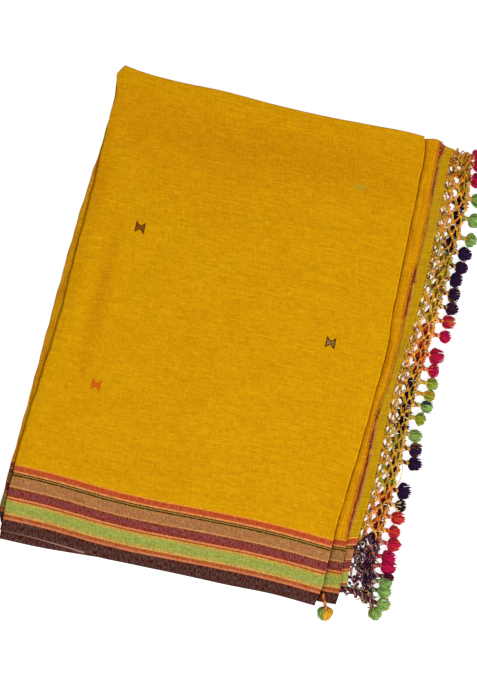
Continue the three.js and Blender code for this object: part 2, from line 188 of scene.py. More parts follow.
def mixColours(tree, share, first, second):
    inputs = {0: share, 6: first, 7: second}
    return addNode(tree, "ShaderNodeMix", inputs, data_type="RGBA").outputs[2]


def rampOf(tree, place, span, stops, kind="CONSTANT"):
    # the tone at a place in mm: stops say where each tone starts, and none starts past span
    node = addNode(tree, "ShaderNodeValToRGB", {0: reckon(tree, "DIVIDE", place, span)})
    node.color_ramp.interpolation = kind
    elements = node.color_ramp.elements
    while len(elements) < len(stops):
        elements.new(1.0)
    for element, (start, tone) in zip(elements, stops):
        element.position = start / span
        element.color = tone
    return node.outputs[0]


def streakNoise(tree, lay, stretch, detail=2.0, roughness=0.55, part="Fac"):
    # noise drawn out along the cloth: stretch is how often it changes, a mm, along and across
    drawn = reckonVector(tree, "MULTIPLY", lay, (*stretch, 0))
    inputs = {"Vector": drawn, "Scale": 1.0, "Detail": detail, "Roughness": roughness}
    return addNode(tree, "ShaderNodeTexNoise", inputs, noise_dimensions="2D").outputs[part]


def newGroup(name, inputs, outputs):
    group = bpy.data.node_groups.new(name, "ShaderNodeTree")
    for way, sockets in (("INPUT", inputs), ("OUTPUT", outputs)):
        for title, kind in sockets:
            group.interface.new_socket(title, in_out=way, socket_type="NodeSocket" + kind)
    return group, group.nodes.new("NodeGroupInput"), group.nodes.new("NodeGroupOutput")


def placeGroup(tree, group, inputs):
    return addNode(tree, "ShaderNodeGroup", inputs, node_tree=group)


def newFinish(name, roughness, sheen, sheenRoughness, gloss):
    material = bpy.data.materials.new(name)
    material.use_nodes = True
    shader = material.node_tree.nodes["Principled BSDF"]
    shader.inputs["Roughness"].default_value = roughness
    shader.inputs["Sheen Weight"].default_value = sheen
    shader.inputs["Sheen Roughness"].default_value = sheenRoughness
    shader.inputs["Specular IOR Level"].default_value = gloss
    return material, material.node_tree, shader


def dress(tree, shader, tone, bump, bumpMm, height):
    # the tone and the fine relief of a finish
    tree.links.new(tone, shader.inputs["Base Color"])
    inputs = {"Strength": bump, "Distance": bumpMm * mm, "Height": height}
    tree.links.new(addNode(tree, "ShaderNodeBump", inputs).outputs[0], shader.inputs["Normal"])


# handloom weave: slubs both ways, dye patches and the threads themselves

weave = {"threadMm": 0.62, "slub": 0.4, "fine": 0.5, "patch": 0.1, "long": 0.4, "warpShare": 0.8}


def makeWeave():
    group, enter, leave = newGroup(
        "handloomWeave",
        [("Lay", "Vector")],
        [("Shade", "Float"), ("Height", "Float"), ("Patch", "Float")],
    )
    lay = enter.outputs["Lay"]

    def bothWays(weftStretch, warpStretch):
        weft = streakNoise(group, lay, weftStretch)
        warp = streakNoise(group, lay, warpStretch)
        return reckon(group, "ADD", weft, reckon(group, "MULTIPLY", warp, weave["warpShare"]))

    slubs = bothWays((0.05, 0.55), (0.55, 0.06))
    fines = bothWays((0.14, 1.2), (1.2, 0.2))
    longSlub = streakNoise(group, lay, (0.014, 0.3), 3.0)
    patch = streakNoise(group, lay, (0.016, 0.02), 3.0)
    paleSlub = reckon(group, "MAXIMUM", reckon(group, "SUBTRACT", longSlub, 0.53), -0.03)
    shade = reckon(group, "MULTIPLY_ADD", paleSlub, weave["long"], 1.0)
    for noise, middle, strength in (
        (slubs, 0.9, weave["slub"]), (fines, 0.9, weave["fine"]), (patch, 0.5, weave["patch"]),
    ):
        shade = reckon(group, "ADD", shade, swing(group, noise, middle, strength))
    alongX, alongY, _ = partsOf(group, lay)
    turns = 2 * math.pi / weave["threadMm"]
    warp = reckon(group, "SINE", reckon(group, "MULTIPLY", alongX, turns))
    weft = reckon(group, "SINE", reckon(group, "MULTIPLY", alongY, turns))
    threads = reckon(group, "MULTIPLY", reckon(group, "MULTIPLY", warp, weft), 0.25)
    height = reckon(group, "MULTIPLY_ADD", slubs, 1.1, threads)
    for title, value in (("Shade", shade), ("Height", height), ("Patch", patch)):
        group.links.new(value, leave.inputs[title])
    return group


# woven border: from the selvedge up, where each stripe starts in mm and its colour

borderStripes = [
    (0, (78, 46, 38)),
    (12.6, (92, 42, 20)),
    (13.9, (198, 118, 78)),
    (16.4, (168, 86, 40)),
    (19.4, (178, 108, 44)),
    (20.3, (206, 158, 82)),
    (21.6, (176, 152, 70)),
    (24.6, (152, 158, 71)),
    (33.4, (168, 158, 72)),
    (35.6, (184, 148, 64)),
    (36.6, (204, 150, 66)),
    (37.8, (158, 84, 18)),
    (39.6, (216, 130, 80)),
    (41.7, (134, 56, 38)),
    (45.2, (130, 59, 58)),
    (50.0, (128, 62, 34)),
    (52.9, (198, 134, 86)),
    (54.6, (167, 112, 66)),
    (65.0, (164, 116, 62)),
    (67.1, (74, 46, 4)),
    (68.6, (170, 128, 50)),
    (69.9, (82, 50, 4)),
    (71.3, (218, 138, 78)),
    (73.4, (184, 82, 40)),
    (75.0, (181, 76, 37)),
    (79.2, (212, 120, 40)),
    (80.4, (226, 146, 44)),
]
borderSpan = 90.0
borderTop = 81.6
selvedge = {"width": 0.3, "wornFrom": -104, "tone": (158, 116, 98)}


def makeBorder():
    group, enter, leave = newGroup(
        "borderStripes", [("Lay", "Vector"), ("Field", "Color")], [("Colour", "Color")],
    )
    lay = enter.outputs["Lay"]
    along, across, _ = partsOf(group, lay)
    wander = streakNoise(group, lay, (0.5, 0.9), 1.0)
    up = reckon(group, "ADD", across, swing(group, wander, 0.5, 0.7))
    stripes = rampOf(group, up, borderSpan, [(start, colour(*tone)) for start, tone in borderStripes])
    # each thread a little redder, greener or bluer, and lighter or darker across the stripes
    grain = streakNoise(group, lay, (0.3, 0.46), 2.0, 0.7, "Color")
    tint = reckonVector(group, "MULTIPLY_ADD", grain, (1.25, 1.1, 1.5), (0.38, 0.45, 0.27))
    cross = streakNoise(group, lay, (0.1, 0.8))
    bright = reckon(group, "MULTIPLY_ADD", cross, 0.4, 0.8)
    lit = reckonVector(group, "SCALE", reckonVector(group, "MULTIPLY", stripes, tint), bright)
    # paler and darker threads, as strong on the dark stripes as on the light ones
    speck = streakNoise(group, lay, (0.75, 0.2), 2.0, 0.6)
    lit = reckonVector(group, "ADD", lit, swing(group, speck, 0.5, 0.15))
    lit = reckonVector(group, "MAXIMUM", lit, (0.002, 0.002, 0.002))
    # a pale selvedge thread, worn away along most of its length
    pastWorn = reckon(group, "LESS_THAN", along, selvedge["wornFrom"])
    inSelvedge = reckon(group, "LESS_THAN", across, selvedge["width"])
    onThread = reckon(group, "MULTIPLY", pastWorn, inSelvedge)
    edged = mixColours(group, onThread, lit, colour(*selvedge["tone"]))
    inBorder = reckon(group, "LESS_THAN", up, borderTop)
    result = mixColours(group, inBorder, enter.outputs["Field"], edged)
    group.links.new(result, leave.inputs["Colour"])
    return group


# woven motif: two wings that meet at a point, in steps of one thread pair

def makeMotif():
    group, enter, leave = newGroup(
        "wovenMotif",
        [("Lay", "Vector"), ("Centre", "Vector"), ("Size", "Vector"), ("Strength", "Float"),
         ("Waist", "Float"), ("Flare", "Float"),
         ("Wing", "Color"), ("Inside", "Color"), ("Ground", "Color")],
        [("Colour", "Color")],
    )
    given = enter.outputs
    away = reckonVector(group, "SUBTRACT", given["Lay"], given["Centre"])
    unit = reckonVector(group, "DIVIDE", away, given["Size"])
    stepped = reckonVector(group, "SNAP", unit, (0.13, 0.15, 1))
    across, high, _ = partsOf(group, reckonVector(group, "ABSOLUTE", stepped))

    def within(end, flare, waist):
        # inside a figure that ends at a share across and widens from its waist
        edge = reckon(group, "MULTIPLY_ADD", across, flare, waist)
        beforeEnd = reckon(group, "LESS_THAN", across, end)
        return reckon(group, "MULTIPLY", beforeEnd, reckon(group, "LESS_THAN", high, edge))

    # a broad waist, and wings that widen from it to straight ends
    wing = within(1.0, given["Flare"], given["Waist"])
    inner = within(0.68, 0.6, 0.08)
    dots = streakNoise(group, unit, (5.5, 5.5), 0.0)
    dotted = reckon(group, "MULTIPLY", inner, reckon(group, "GREATER_THAN", dots, 0.53))
    figure = mixColours(group, dotted, given["Wing"], given["Inside"])
    share = reckon(group, "MULTIPLY", wing, given["Strength"])
    group.links.new(mixColours(group, share, given["Ground"], figure), leave.inputs["Colour"])
    return group


weaveGroup = makeWeave()
borderGroup = makeBorder()
motifGroup = makeMotif()

motifs = [
    {"x": -123.2, "y": 110.6, "size": (6.0, 7.4), "waist": 0.34, "flare": 0.66, "strength": 0.94,
     "wing": (84, 38, 6), "inside": (150, 84, 30)},
    {"x": 129.8, "y": 25, "size": (6.1, 7.4), "waist": 0.34, "flare": 0.66, "strength": 0.94,
     "wing": (72, 38, 8), "inside": (184, 130, 88)},
    {"x": -134, "y": -85.4, "size": (5.9, 7.2), "waist": 0.4, "flare": 0.6, "strength": 0.82,
     "wing": (198, 80, 12), "inside": (214, 78, 26)},
    {"x": 124.2, "y": 215.3, "size": (7.8, 4.2), "waist": 1.1, "flare": -0.6, "strength": 0.5,
     "wing": (166, 164, 40), "inside": (176, 166, 70)},
]

# painted shade on the top panel, where its creases and its slope to the head fold turn from the light:
# middle, half sizes in mm and how much darker
paintedShadeAreas = [
    {"x": 0, "y": 234, "size": (300, 42), "share": 0.2},
    {"x": -184, "y": 152, "size": (15, 42), "share": 0.22},
    {"x": -153, "y": 10, "size": (12, 96), "share": 0.16},
    {"x": -60, "y": 160, "size": (190, 30), "share": 0.05},
    {"x": -40, "y": -172, "size": (150, 13), "share": 0.08},
    {"x": 178, "y": -165, "size": (16, 40), "share": 0.1},
    {"x": -190, "y": 60, "size": (14, 60), "share": 0.1},
]

clothFinish = {
    "roughness": 0.9, "sheen": 0.03, "sheenRoughness": 0.5, "sheenTint": (240, 190, 80), "gloss": 0.03,
    # rim: how strongly the painted highlight and shade at the fold edges change the tone
    "rim": 0.16, "bump": 0.4, "bumpMm": 0.35, "warmth": (0.86, 1.2, 1.2),
}


def onLay(spot):
    # a spot of the top panel on the cloth's own map, where up starts at the border's foot
    return (spot["x"], spot["y"] - float(edgeAt(borderLine, spot["x"])), 0)


def addBands(tree, lay, tone, bands, shows):
    # narrow bands that run along the cloth's end, worn through in places
    along, up, _ = partsOf(tree, lay)
    wander = streakNoise(tree, lay, (0.2, 0.11), 3.0, 0.6)
    along = reckon(tree, "ADD", along, swing(tree, wander, 0.5, 5.0))
    band = rampOf(tree, along, bandSpan, [(start, colour(*shade)) for start, shade in bands])
    shares = [(start, (share, share, share, 1)) for start, share in shows]
    whole = rampOf(tree, up, showsSpan, shares, "LINEAR")
    gaps = streakNoise(tree, lay, (0.25, 0.045), 3.0, 0.65)
    return mixColours(tree, reckon(tree, "LESS_THAN", gaps, whole), tone, band)


def addFray(tree, lay, tone, frayed):
    # darker specks beside the cut end, fewer further in
    crumple = streakNoise(tree, lay, (0.9, 0.28), 3.0, 0.7)
    reach = drawnOut(tree, partsOf(tree, lay)[0], 0.0, frayed["reach"], 0.7, 0.32)
    return mixColours(tree, reckon(tree, "LESS_THAN", crumple, reach), tone, colour(*frayed["tone"]))


def addMotifs(tree, lay, tone):
    for motif in motifs:
        inputs = {
            "Lay": lay,
            "Centre": onLay(motif),
            "Size": (*motif["size"], 1),
            "Strength": motif["strength"],
            "Waist": motif["waist"],
            "Flare": motif["flare"],
            "Wing": colour(*motif["wing"]),
            "Inside": colour(*motif["inside"]),
            "Ground": tone,
        }
        tone = placeGroup(tree, motifGroup, inputs).outputs["Colour"]
    return tone


def addPaintedShade(tree, lay, tone):
    # painted shade: each area darkens the tone, green and blue more than red
    for area in paintedShadeAreas:
        away = reckonVector(tree, "SUBTRACT", lay, onLay(area))
        unit = reckonVector(tree, "DIVIDE", away, (*area["size"], 1))
        reach = reckonVector(tree, "LENGTH", unit)
        fade = drawnOut(tree, reach, 0.0, 1.6, area["share"], 0.0, interpolation_type="SMOOTHSTEP")
        tone = mixColours(tree, fade, tone, reckonVector(tree, "MULTIPLY", tone, (0.7, 0.2, 0.2)))
    return tone


def makeCloth(
    name, field, patchTone, bands=None, shows=None, frayed=None, streaks=None, motifsAndShade=False, dim=None,
):
    # cotton with the woven border; the cloth's own map says where each thread lies, in metres
    finish = clothFinish
    material, tree, shader = newFinish(
        name, finish["roughness"], finish["sheen"], finish["sheenRoughness"], finish["gloss"],
    )
    shader.inputs["Sheen Tint"].default_value = colour(*finish["sheenTint"])
    layMap = addNode(tree, "ShaderNodeUVMap", uv_map="clothLay")
    lay = reckonVector(tree, "MULTIPLY", layMap.outputs[0], (1000, 1000, 0))
    threads = placeGroup(tree, weaveGroup, {"Lay": lay})
    patchShare = drawnOut(tree, threads.outputs["Patch"], 0.35, 0.65)
    tone = mixColours(tree, patchShare, colour(*field), colour(*patchTone))
    if bands:
        tone = addBands(tree, lay, tone, bands, shows)
    if frayed:
        tone = addFray(tree, lay, tone, frayed)
    if streaks:
        lines = drawnOut(tree, streakNoise(tree, lay, (0.55, 0.02), 2.0, 0.6), 0.5, 0.7, 0.0, 0.8)
        tone = mixColours(tree, lines, tone, colour(*streaks))
    # woven motifs, then painted shade over the top panel
    if motifsAndShade:
        tone = addPaintedShade(tree, lay, addMotifs(tree, lay, tone))
    striped = placeGroup(tree, borderGroup, {"Lay": lay, "Field": tone}).outputs["Colour"]
    # on the under panel this darkening of the border stripes is painted shade from the top panel above it;
    # the plain end's border is darkened a little too
    if dim:
        inBorder = reckon(tree, "LESS_THAN", partsOf(tree, lay)[1], borderTop)
        striped = mixColours(tree, inBorder, striped, reckonVector(tree, "MULTIPLY", striped, dim))
    # a deeper place is a little redder than a paler one
    depth = reckonVector(tree, "SCALE", (1, 1, 1), threads.outputs["Shade"])
    even = [1 - share for share in finish["warmth"]]
    warmth = reckonVector(tree, "MULTIPLY_ADD", depth, finish["warmth"], even)
    shaded = reckonVector(tree, "MULTIPLY", striped, warmth)
    # painted light near the fold edges: a highlight along the right fold, painted shade along the left and
    # head folds and beside the edges of the layers above
    rim = addNode(tree, "ShaderNodeAttribute", attribute_name="paintedRimLight", attribute_type="GEOMETRY")
    gain = reckon(tree, "MULTIPLY_ADD", rim.outputs["Fac"], finish["rim"], 1.0)
    rimLitAndShaded = reckonVector(tree, "SCALE", shaded, gain)
    dress(tree, shader, rimLitAndShaded, finish["bump"], finish["bumpMm"], threads.outputs["Height"])
    return material


topCotton = makeCloth("topCotton", (211, 151, 4), (207, 146, 3), motifsAndShade=True)
# its border darkened as painted shade from the top panel above it
underCotton = makeCloth(
    "underCotton", (200, 144, 8), (186, 124, 10), streaks=(172, 98, 12), dim=(0.46, 0.42, 0.4),
)
endCotton = makeCloth(
    "endCotton", (214, 150, 4), (204, 136, 4), frayed={"reach": 3.4, "tone": (190, 108, 18)},
    streaks=(192, 120, 8), dim=(0.84, 0.88, 0.78),
)
palluBands = [
    (0, (190, 142, 10)), (8.6, (186, 134, 34)), (11.2, (172, 106, 58)), (12.4, (138, 60, 24)),
    (14.8, (184, 114, 30)),
]
bandSpan = 40.0
# how much of the bands is left along the end: distance up from the foot, and share
palluBandShows = [
    (0, 0.3), (66, 0.35), (80, 0.72), (220, 0.68), (240, 0.3), (318, 0.3), (332, 0.66), (404, 0.6),
    (420, 0.36), (480, 0.36), (500, 0.56), (556, 0.6),
]
showsSpan = 600.0
palluCotton = makeCloth(
    "palluCotton", (194, 148, 10), (178, 134, 24), bands=palluBands, shows=palluBandShows,
)
foldCotton = makeCloth("foldCotton", (198, 142, 8), (186, 130, 8))
print("cotton ready")

# sheets of cloth: thickness, how far a folded edge tucks down, and how much an edge wavers, in mm

cloth = {
    # painted shade along the left and head folds: its strength, and how far in it and the painted
    # highlight on the right fold reach, in mm
    "thick": 0.6, "tuck": 0.9, "rimShade": 1.3, "rimReach": 0.9, "waver": 0.3, "footDrop": 0.5,
    "footReach": 9, "rounds": 6, "smoothUnder": 50,
}
firstGuess = {"left": -205, "wide": 395, "foot": -284, "high": 575}

# how a folded edge turns under: distance in from the edge and drop, from the hidden end outwards
foldedEdge = [
    (7.0, 1.0), (2.6, 1.0), (1.2, 1.0), (0.5, 0.93), (0.12, 0.74), (0.0, 0.5), (0.12, 0.26),
    (0.5, 0.07), (1.2, 0.0),
]
cutEdge = [(0.0, 0.0), (0.7, 0.0)]


def fineEdge(edge, reach, step):
    # more rows or columns beside an edge, where small creases show
    return edge + [(float(shift), 0.0) for shift in np.arange(edge[-1][0] + step, reach, step)]


def route(start, end, steps):
    # rows or columns of a sheet: share of the way, shift from there, and share of a tuck's drop
    first = start
    last = end[::-1]
    inFirst, inLast = first[-1][0], last[0][0]
    rows = [(0, shift, drop) for shift, drop in first]
    for step in range(1, steps):
        share = step / steps
        rows.append((share, inFirst * (1 - share) - inLast * share, 0))
    rows += [(1, -shift, drop) for shift, drop in last]
    return np.array(rows)


def gridOf(name, columns, rows):
    # a plain grid to be laid out: gives its object and the column and row of each point
    bpy.ops.object.select_all(action="DESELECT")
    bpy.ops.mesh.primitive_grid_add(x_subdivisions=columns - 1, y_subdivisions=rows - 1, size=1)
    piece = bpy.context.object
    piece.name = name
    piece.data.name = name
    points = np.empty(len(piece.data.vertices) * 3)
    piece.data.vertices.foreach_get("co", points)
    points = points.reshape(-1, 3)
    column = np.rint((points[:, 0] + 0.5) * (columns - 1)).astype(int)
    row = np.rint((points[:, 1] + 0.5) * (rows - 1)).astype(int)
    return piece, column, row


def layGrid(piece, points, lay):
    # every point to its place, and the cloth's own map from it
    mesh = piece.data
    mesh.vertices.foreach_set("co", points.ravel())
    corners = np.empty(len(mesh.loops), dtype=np.int32)
    mesh.loops.foreach_get("vertex_index", corners)
    layer = mesh.uv_layers[0]
    layer.name = "clothLay"
    layer.uv.foreach_set("vector", (lay[corners] * mm).ravel())
    mesh.update()


def selectOnly(*pieces):
    bpy.ops.object.select_all(action="DESELECT")
    for piece in pieces:
        piece.select_set(True)
    bpy.context.view_layer.objects.active = pieces[0]


def makeSolid(piece):
    # the wall's thickness, and soft shading but for its cut edges
    selectOnly(piece)
    wall = piece.modifiers.new("Wall", "SOLIDIFY")
    wall.thickness = cloth["thick"] * mm
    wall.offset = 0
    bpy.ops.object.modifier_apply(modifier=wall.name)
    bpy.ops.object.shade_smooth_by_angle(angle=math.radians(cloth["smoothUnder"]))


def softForm(creases, x, y):
    # height of the soft troughs and ridges at each place; creases have the columns named here
    form = np.zeros_like(x)
    for middleX, middleY, turn, reach, width, rise, bow in creases:
        turn = math.radians(turn)
        along = (x - middleX) * math.cos(turn) + (y - middleY) * math.sin(turn)
        across = (y - middleY) * math.cos(turn) - (x - middleX) * math.sin(turn)
        across = across + bow * (along / reach) ** 2
        fade = np.clip(1 - (along / reach) ** 2, 0, 1)
        form += rise * fade * np.exp(-((across / width) ** 2))
    return form


def besideForm(troughs, x, y):
    # creases that run along an edge of the cloth, deeper and shallower along their way
    form = np.zeros_like(x)
    for trough in troughs:
        away = x - edgeAt(trough["edge"], y) - trough["offset"]
        vary = 1 + 0.3 * np.sin(y / 19 + trough["offset"]) + 0.2 * np.sin(y / 7.3 + 2 * trough["offset"])
        form += trough["rise"] * vary * np.exp(-((away / trough["width"]) ** 2))
    return form


def betweenEdges(edges, setBack, across, upward, waver=0.0, phase=0.0):
    # where each point lies between the four edges, in a few rounds because they bend
    shareX, shiftX = across[:2]
    shareY, shiftY = upward[:2]
    x = firstGuess["left"] + firstGuess["wide"] * shareX
    y = firstGuess["foot"] + firstGuess["high"] * shareY
    for _ in range(cloth["rounds"]):
        wave = waver * (np.sin(y / 8.3 + phase) + 0.7 * np.sin(y / 4.1 + 2 * phase))
        left = edgeAt(edges["left"], y) + setBack[0] + wave
        right = edgeAt(edges["right"], y) - setBack[1] + wave
        head = edgeAt(edges["head"], x) - setBack[2]
        foot = edgeAt(edges["foot"], x) + setBack[3]
        x = left + (right - left) * shareX + shiftX
        y = foot + (head - foot) * shareY + shiftY
    return x, y, left, right, head, foot


def layCloth(name, stretch):
    # one stretch of cloth on its solid's outline, top in mm, sides saying how each edge is finished
    top, sides, beside = stretch["top"], stretch["sides"], stretch.get("beside", ())
    across = route(sides["left"], sides["right"], stretch["steps"][0])
    upward = route(sides["foot"], sides["head"], stretch["steps"][1])
    piece, column, row = gridOf(name, len(across), len(upward))
    across, upward = across[column].T, upward[row].T
    x, y, left, right, head, foot = betweenEdges(
        stretch["edges"], stretch["setBack"], across, upward, cloth["waver"], top,
    )
    drop = 1 - (1 - across[2]) * (1 - upward[2])
    up = y - foot
    form = softForm(stretch.get("creases", ()), x, y) + besideForm(beside, x, y)
    z = top - cloth["thick"] / 2 - cloth["tuck"] * drop + form * (1 - drop)
    z -= cloth["footDrop"] * np.exp(-((up / cloth["footReach"]) ** 2))
    scale, squeeze = stretch.get("stripes", (1.0, 0.0))
    lined = y - edgeAt(stretch["stripeLine"], x) if "stripeLine" in stretch else up
    mapX = right - x if stretch.get("fromEnd") else x
    mapY = lined * scale + squeeze * (1 - np.exp(-np.clip(up, 0, None) / 12))
    layGrid(piece, onPart(x, y, z), np.stack([mapX, mapY], axis=1))
    # painted highlight along the right fold, painted shade along the left and head folds, and painted
    # shadow beside an edge where a beside trough gives a shade
    rim = piece.data.attributes.new("paintedRimLight", "FLOAT", "POINT")
    lit = np.exp(-(((right - x) / cloth["rimReach"]) ** 2)) * (across[0] > 0.5)
    shadedRimShare = np.exp(-((np.minimum(x - left, head - y) / cloth["rimReach"]) ** 2))
    shade = cloth["rimShade"] * shadedRimShare
    for trough in beside:
        strength, reach = trough.get("shade", (0, 1))
        away = np.clip(x - edgeAt(trough["edge"], y), 0, None)
        shade = shade + strength * np.exp(-((away / reach) ** 2))
    rim.data.foreach_set("value", lit - shade)
    makeSolid(piece)
    return piece


def finishPiece(piece, material, node):
    piece.data.materials.clear()
    piece.data.materials.append(material)
    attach(piece, "root")
    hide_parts(node)


fineFold = fineEdge(foldedEdge, 6, 0.9)
folded = {"left": fineFold, "right": fineFold, "head": fineFold, "foot": cutEdge}
foldedAtStrip = {
    "left": fineEdge(foldedEdge, 14, 0.7), "right": foldedEdge,
    "head": foldedEdge, "foot": cutEdge,
}
toCutEnd = {"left": foldedEdge, "right": fineEdge(cutEdge, 26, 0.8), "head": fineFold, "foot": cutEdge}


# creases in the columns x, y, turn, reach, width, rise and bow
topPanel = {
    "edges": {"left": topPanelLeft, "right": topPanelRight, "head": headFold, "foot": topPanelFoot},
    "setBack": (0, 0, 0, 0),
    "top": 20.2,
    "sides": folded,
    "steps": (118, 176),
    "stripeLine": borderLine,
    "creases": [
        (-158, 20, 88, 95, 8, -1.5, 3),
        (-176, 26, 86, 100, 8, 0.9, -3),
        (-140, 30, 90, 80, 9, 0.7, 2),
        (-10, 236, 1, 230, 24, -1.3, 6),
        (0, 277, -1, 215, 9, 0.7, -2),
        (40, 262, 2, 130, 5, -0.7, 3),
        (-60, 206, -3, 120, 7, -0.7, 4),
        (-128, -176, -2, 85, 7, -1.2, 3),
        (-70, -140, -7, 60, 9, -0.9, -4),
        (-128, -122, 22, 62, 16, 1.0, 4),
        (72, -178, 3, 98, 8, -0.9, -3),
        (20, -158, -4, 80, 8, 0.7, 3),
        (30, -62, 38, 96, 14, 0.8, 8),
        (96, -104, 24, 66, 12, -0.8, -5),
        (172, 12, 90, 120, 13, 0.7, 3),
        (150, -70, 84, 80, 12, -0.8, 4),
        (-182, -110, 93, 66, 9, -0.9, -2),
        (-96, 92, 62, 62, 12, -0.9, 5),
        (-40, 120, 12, 120, 18, 0.8, -6),
        (84, 84, -8, 84, 13, 0.7, 5),
        (60, 170, 5, 130, 15, -0.8, 5),
        (-150, 190, 70, 60, 12, 0.7, 3),
        (20, 20, 82, 120, 20, 0.7, -8),
        (-60, -20, 76, 90, 15, -0.8, 6),
        (0, -236, 0, 190, 12, 0.5, 2),
        (-110, -262, 4, 70, 8, -0.6, 2),
    ],
    "beside": [
        {"edge": topPanelRight, "offset": -1.6, "width": 1.1, "rise": 0.25},
        {"edge": topPanelLeft, "offset": 5.0, "width": 4.0, "rise": -0.1, "shade": (0.45, 10)},
    ],
}
topPiece = layCloth("topPanel", topPanel)
finishPiece(topPiece, topCotton, "top_panel")

lowerHalf = {
    "edges": {"left": topPanelLeft, "right": topPanelRight, "head": headFold, "foot": lowerHalfFoot},
    "setBack": (0.8, 0.6, 0.8, 0),
    "top": 18.3,
    "sides": folded,
    "steps": (60, 90),
    "creases": [(-150, -283, 2, 60, 6, -0.4, 0), (90, -278, -2, 70, 6, -0.3, 0)],
}
lowerPiece = layCloth("topPanelLowerHalf", lowerHalf)
finishPiece(lowerPiece, topCotton, "top_panel_lower_half")

underPanel = {
    "edges": {"left": stackLeft, "right": topPanelRight, "head": headFold, "foot": stackFoot},
    "setBack": (0, 1.2, 2, 0),
    "top": 16.5,
    "sides": foldedAtStrip,
    "steps": (90, 120),
    "stripes": (1.09, 0),
    "creases": [
        (-208, -120, 92, 90, 2.6, -0.5, 1),
        (-200, 30, 93, 70, 2.4, -0.4, -1),
        (-210, -235, 90, 30, 3, 0.3, 0),
    ],
    "beside": [{"edge": topPanelLeft, "offset": -1.0, "width": 1.8, "rise": -0.5}],
}
underPiece = layCloth("underPanel", underPanel)
finishPiece(underPiece, underCotton, "under_panel")

plainEnd = {
    "edges": {"left": stackLeft, "right": plainEndRight, "head": endsHead, "foot": stackFoot},
    "setBack": (1.4, 0, 0, 0.4),
    "top": 14.7,
    "sides": toCutEnd,
    "steps": (130, 150),
    "stripes": (1.035, 0),
    "fromEnd": True,
    "creases": [
        (195, -120, 88, 110, 1.8, -0.4, 1),
        (204, 120, 90, 120, 2.0, 0.35, -1),
        (200, 210, 91, 70, 1.8, -0.35, 1),
        (201, 0, 89, 90, 2.0, -0.3, -1),
        (192, -235, 90, 40, 2.4, 0.3, 0),
    ],
    "beside": [
        {"edge": topPanelRight, "offset": 0.7, "width": 1.2, "rise": -2.2, "shade": (1.7, 3.6)},
        {"edge": topPanelRight, "offset": 6.0, "width": 1.3, "rise": 0.4},
        {"edge": plainEndRight, "offset": -2.6, "width": 0.9, "rise": -0.6},
        {"edge": plainEndRight, "offset": -0.6, "width": 0.9, "rise": 0.35},
    ],
}
plainPiece = layCloth("plainEnd", plainEnd)
finishPiece(plainPiece, endCotton, "plain_end")

palluUpper = {
    "edges": {"left": stackLeft, "right": palluEnd, "head": endsHead, "foot": palluFoot},
    "setBack": (2, 0, 0.8, 0),
    "top": 12.9,
    "sides": toCutEnd,
    "steps": (130, 130),
    "stripes": (1, 13.5),
    "fromEnd": True,
    "creases": [(215, 40, 89, 130, 2.2, -0.3, 1), (214, -190, 90, 60, 2.2, 0.3, 0)],
    "beside": [
        {"edge": plainEndRight, "offset": 0.8, "width": 1.0, "rise": -1.1, "shade": (0.8, 1.6)},
        {"edge": palluEnd, "offset": -2.5, "width": 1.2, "rise": 0.3},
    ],
}
palluPiece = layCloth("palluUpper", palluUpper)
finishPiece(palluPiece, palluCotton, "pallu_upper")

palluLower = {
    "edges": palluUpper["edges"],
    "setBack": (2.6, 19, 3.5, 3),
    "top": 11.1,
    "sides": toCutEnd,
    "steps": (80, 110),
    "stripes": (1, 13.5),
    "fromEnd": True,
}
palluUnderPiece = layCloth("palluLower", palluLower)
finishPiece(palluUnderPiece, palluCotton, "pallu_lower")
print("stretches that show laid")

# hidden folds: flat packets, rounded at three edges and open at the selvedges

packet = {"high": 1.5, "steps": (30, 36), "lowest": 1.8, "mergeMm": 0.01, "footInset": 0.8}
# how a packet's edge rounds off: distance in from the edge and share of its half height
packetEdge = [(0.0, 0.0), (0.06, 0.3), (0.22, 0.55), (0.5, 0.8), (0.9, 0.96), (1.4, 1.0)]
packetFoot = [(0.0, 1.0), (packet["footInset"], 1.0)]
# how far each packet stays back from the stack's left, right, head and foot
bottomSetBack = (1.2, 1, 0.6, 1)
foldSetBacks = [
    (2.2, 2.5, 1.0, 2.4), (3.6, 5.2, 2.6, 1.2), (1.8, 3.0, 0.8, 3.8), (3.0, 6.4, 2.2, 1.8),
    (2.4, 4.0, 1.4, 3.0),
]
stackEdges = {"left": stackLeft, "right": stackRight, "head": stackHead, "foot": stackFoot}


def layPacket(name, setBack, bottom):
    # both layers in one grid, which runs over the top and back underneath
    across = route(packetEdge, packetEdge, packet["steps"][0])
    upward = route(packetFoot, packetEdge, packet["steps"][1])
    half = len(across)
    piece, column, row = gridOf(name, 2 * half - 1, len(upward))
    under = column >= half
    across = across[np.where(under, 2 * half - 2 - column, column)].T
    upward = upward[row].T
    sizeX = np.where((across[0] > 0) & (across[0] < 1), 1, across[2])
    sizeY = np.where((upward[0] > 0) & (upward[0] < 1), 1, upward[2])
    x, y, _, _, _, foot = betweenEdges(stackEdges, setBack, across, upward)
    halfHigh = (packet["high"] - cloth["thick"]) / 2 * sizeX * sizeY
    wave = 0.06 * np.sin(x / 31 + setBack[0] * 5) + 0.05 * np.sin(y / 43 + setBack[1] * 3)
    z = bottom + packet["high"] / 2 + np.where(under, -halfHigh, halfHigh) + wave * (bottom > 1)
    # the two selvedges of a packet are never quite level
    y = y + np.where(under, 0.9, 0) * (upward[0] == 0) * np.sin(x / 23 + setBack[0] * 7)
    layGrid(piece, onPart(x, y, z), np.stack([x, y - foot], axis=1))
    bpy.ops.object.mode_set(mode="EDIT")
    bpy.ops.mesh.select_all(action="SELECT")
    bpy.ops.mesh.remove_doubles(threshold=packet["mergeMm"] * mm)
    bpy.ops.object.mode_set(mode="OBJECT")
    makeSolid(piece)
    return piece


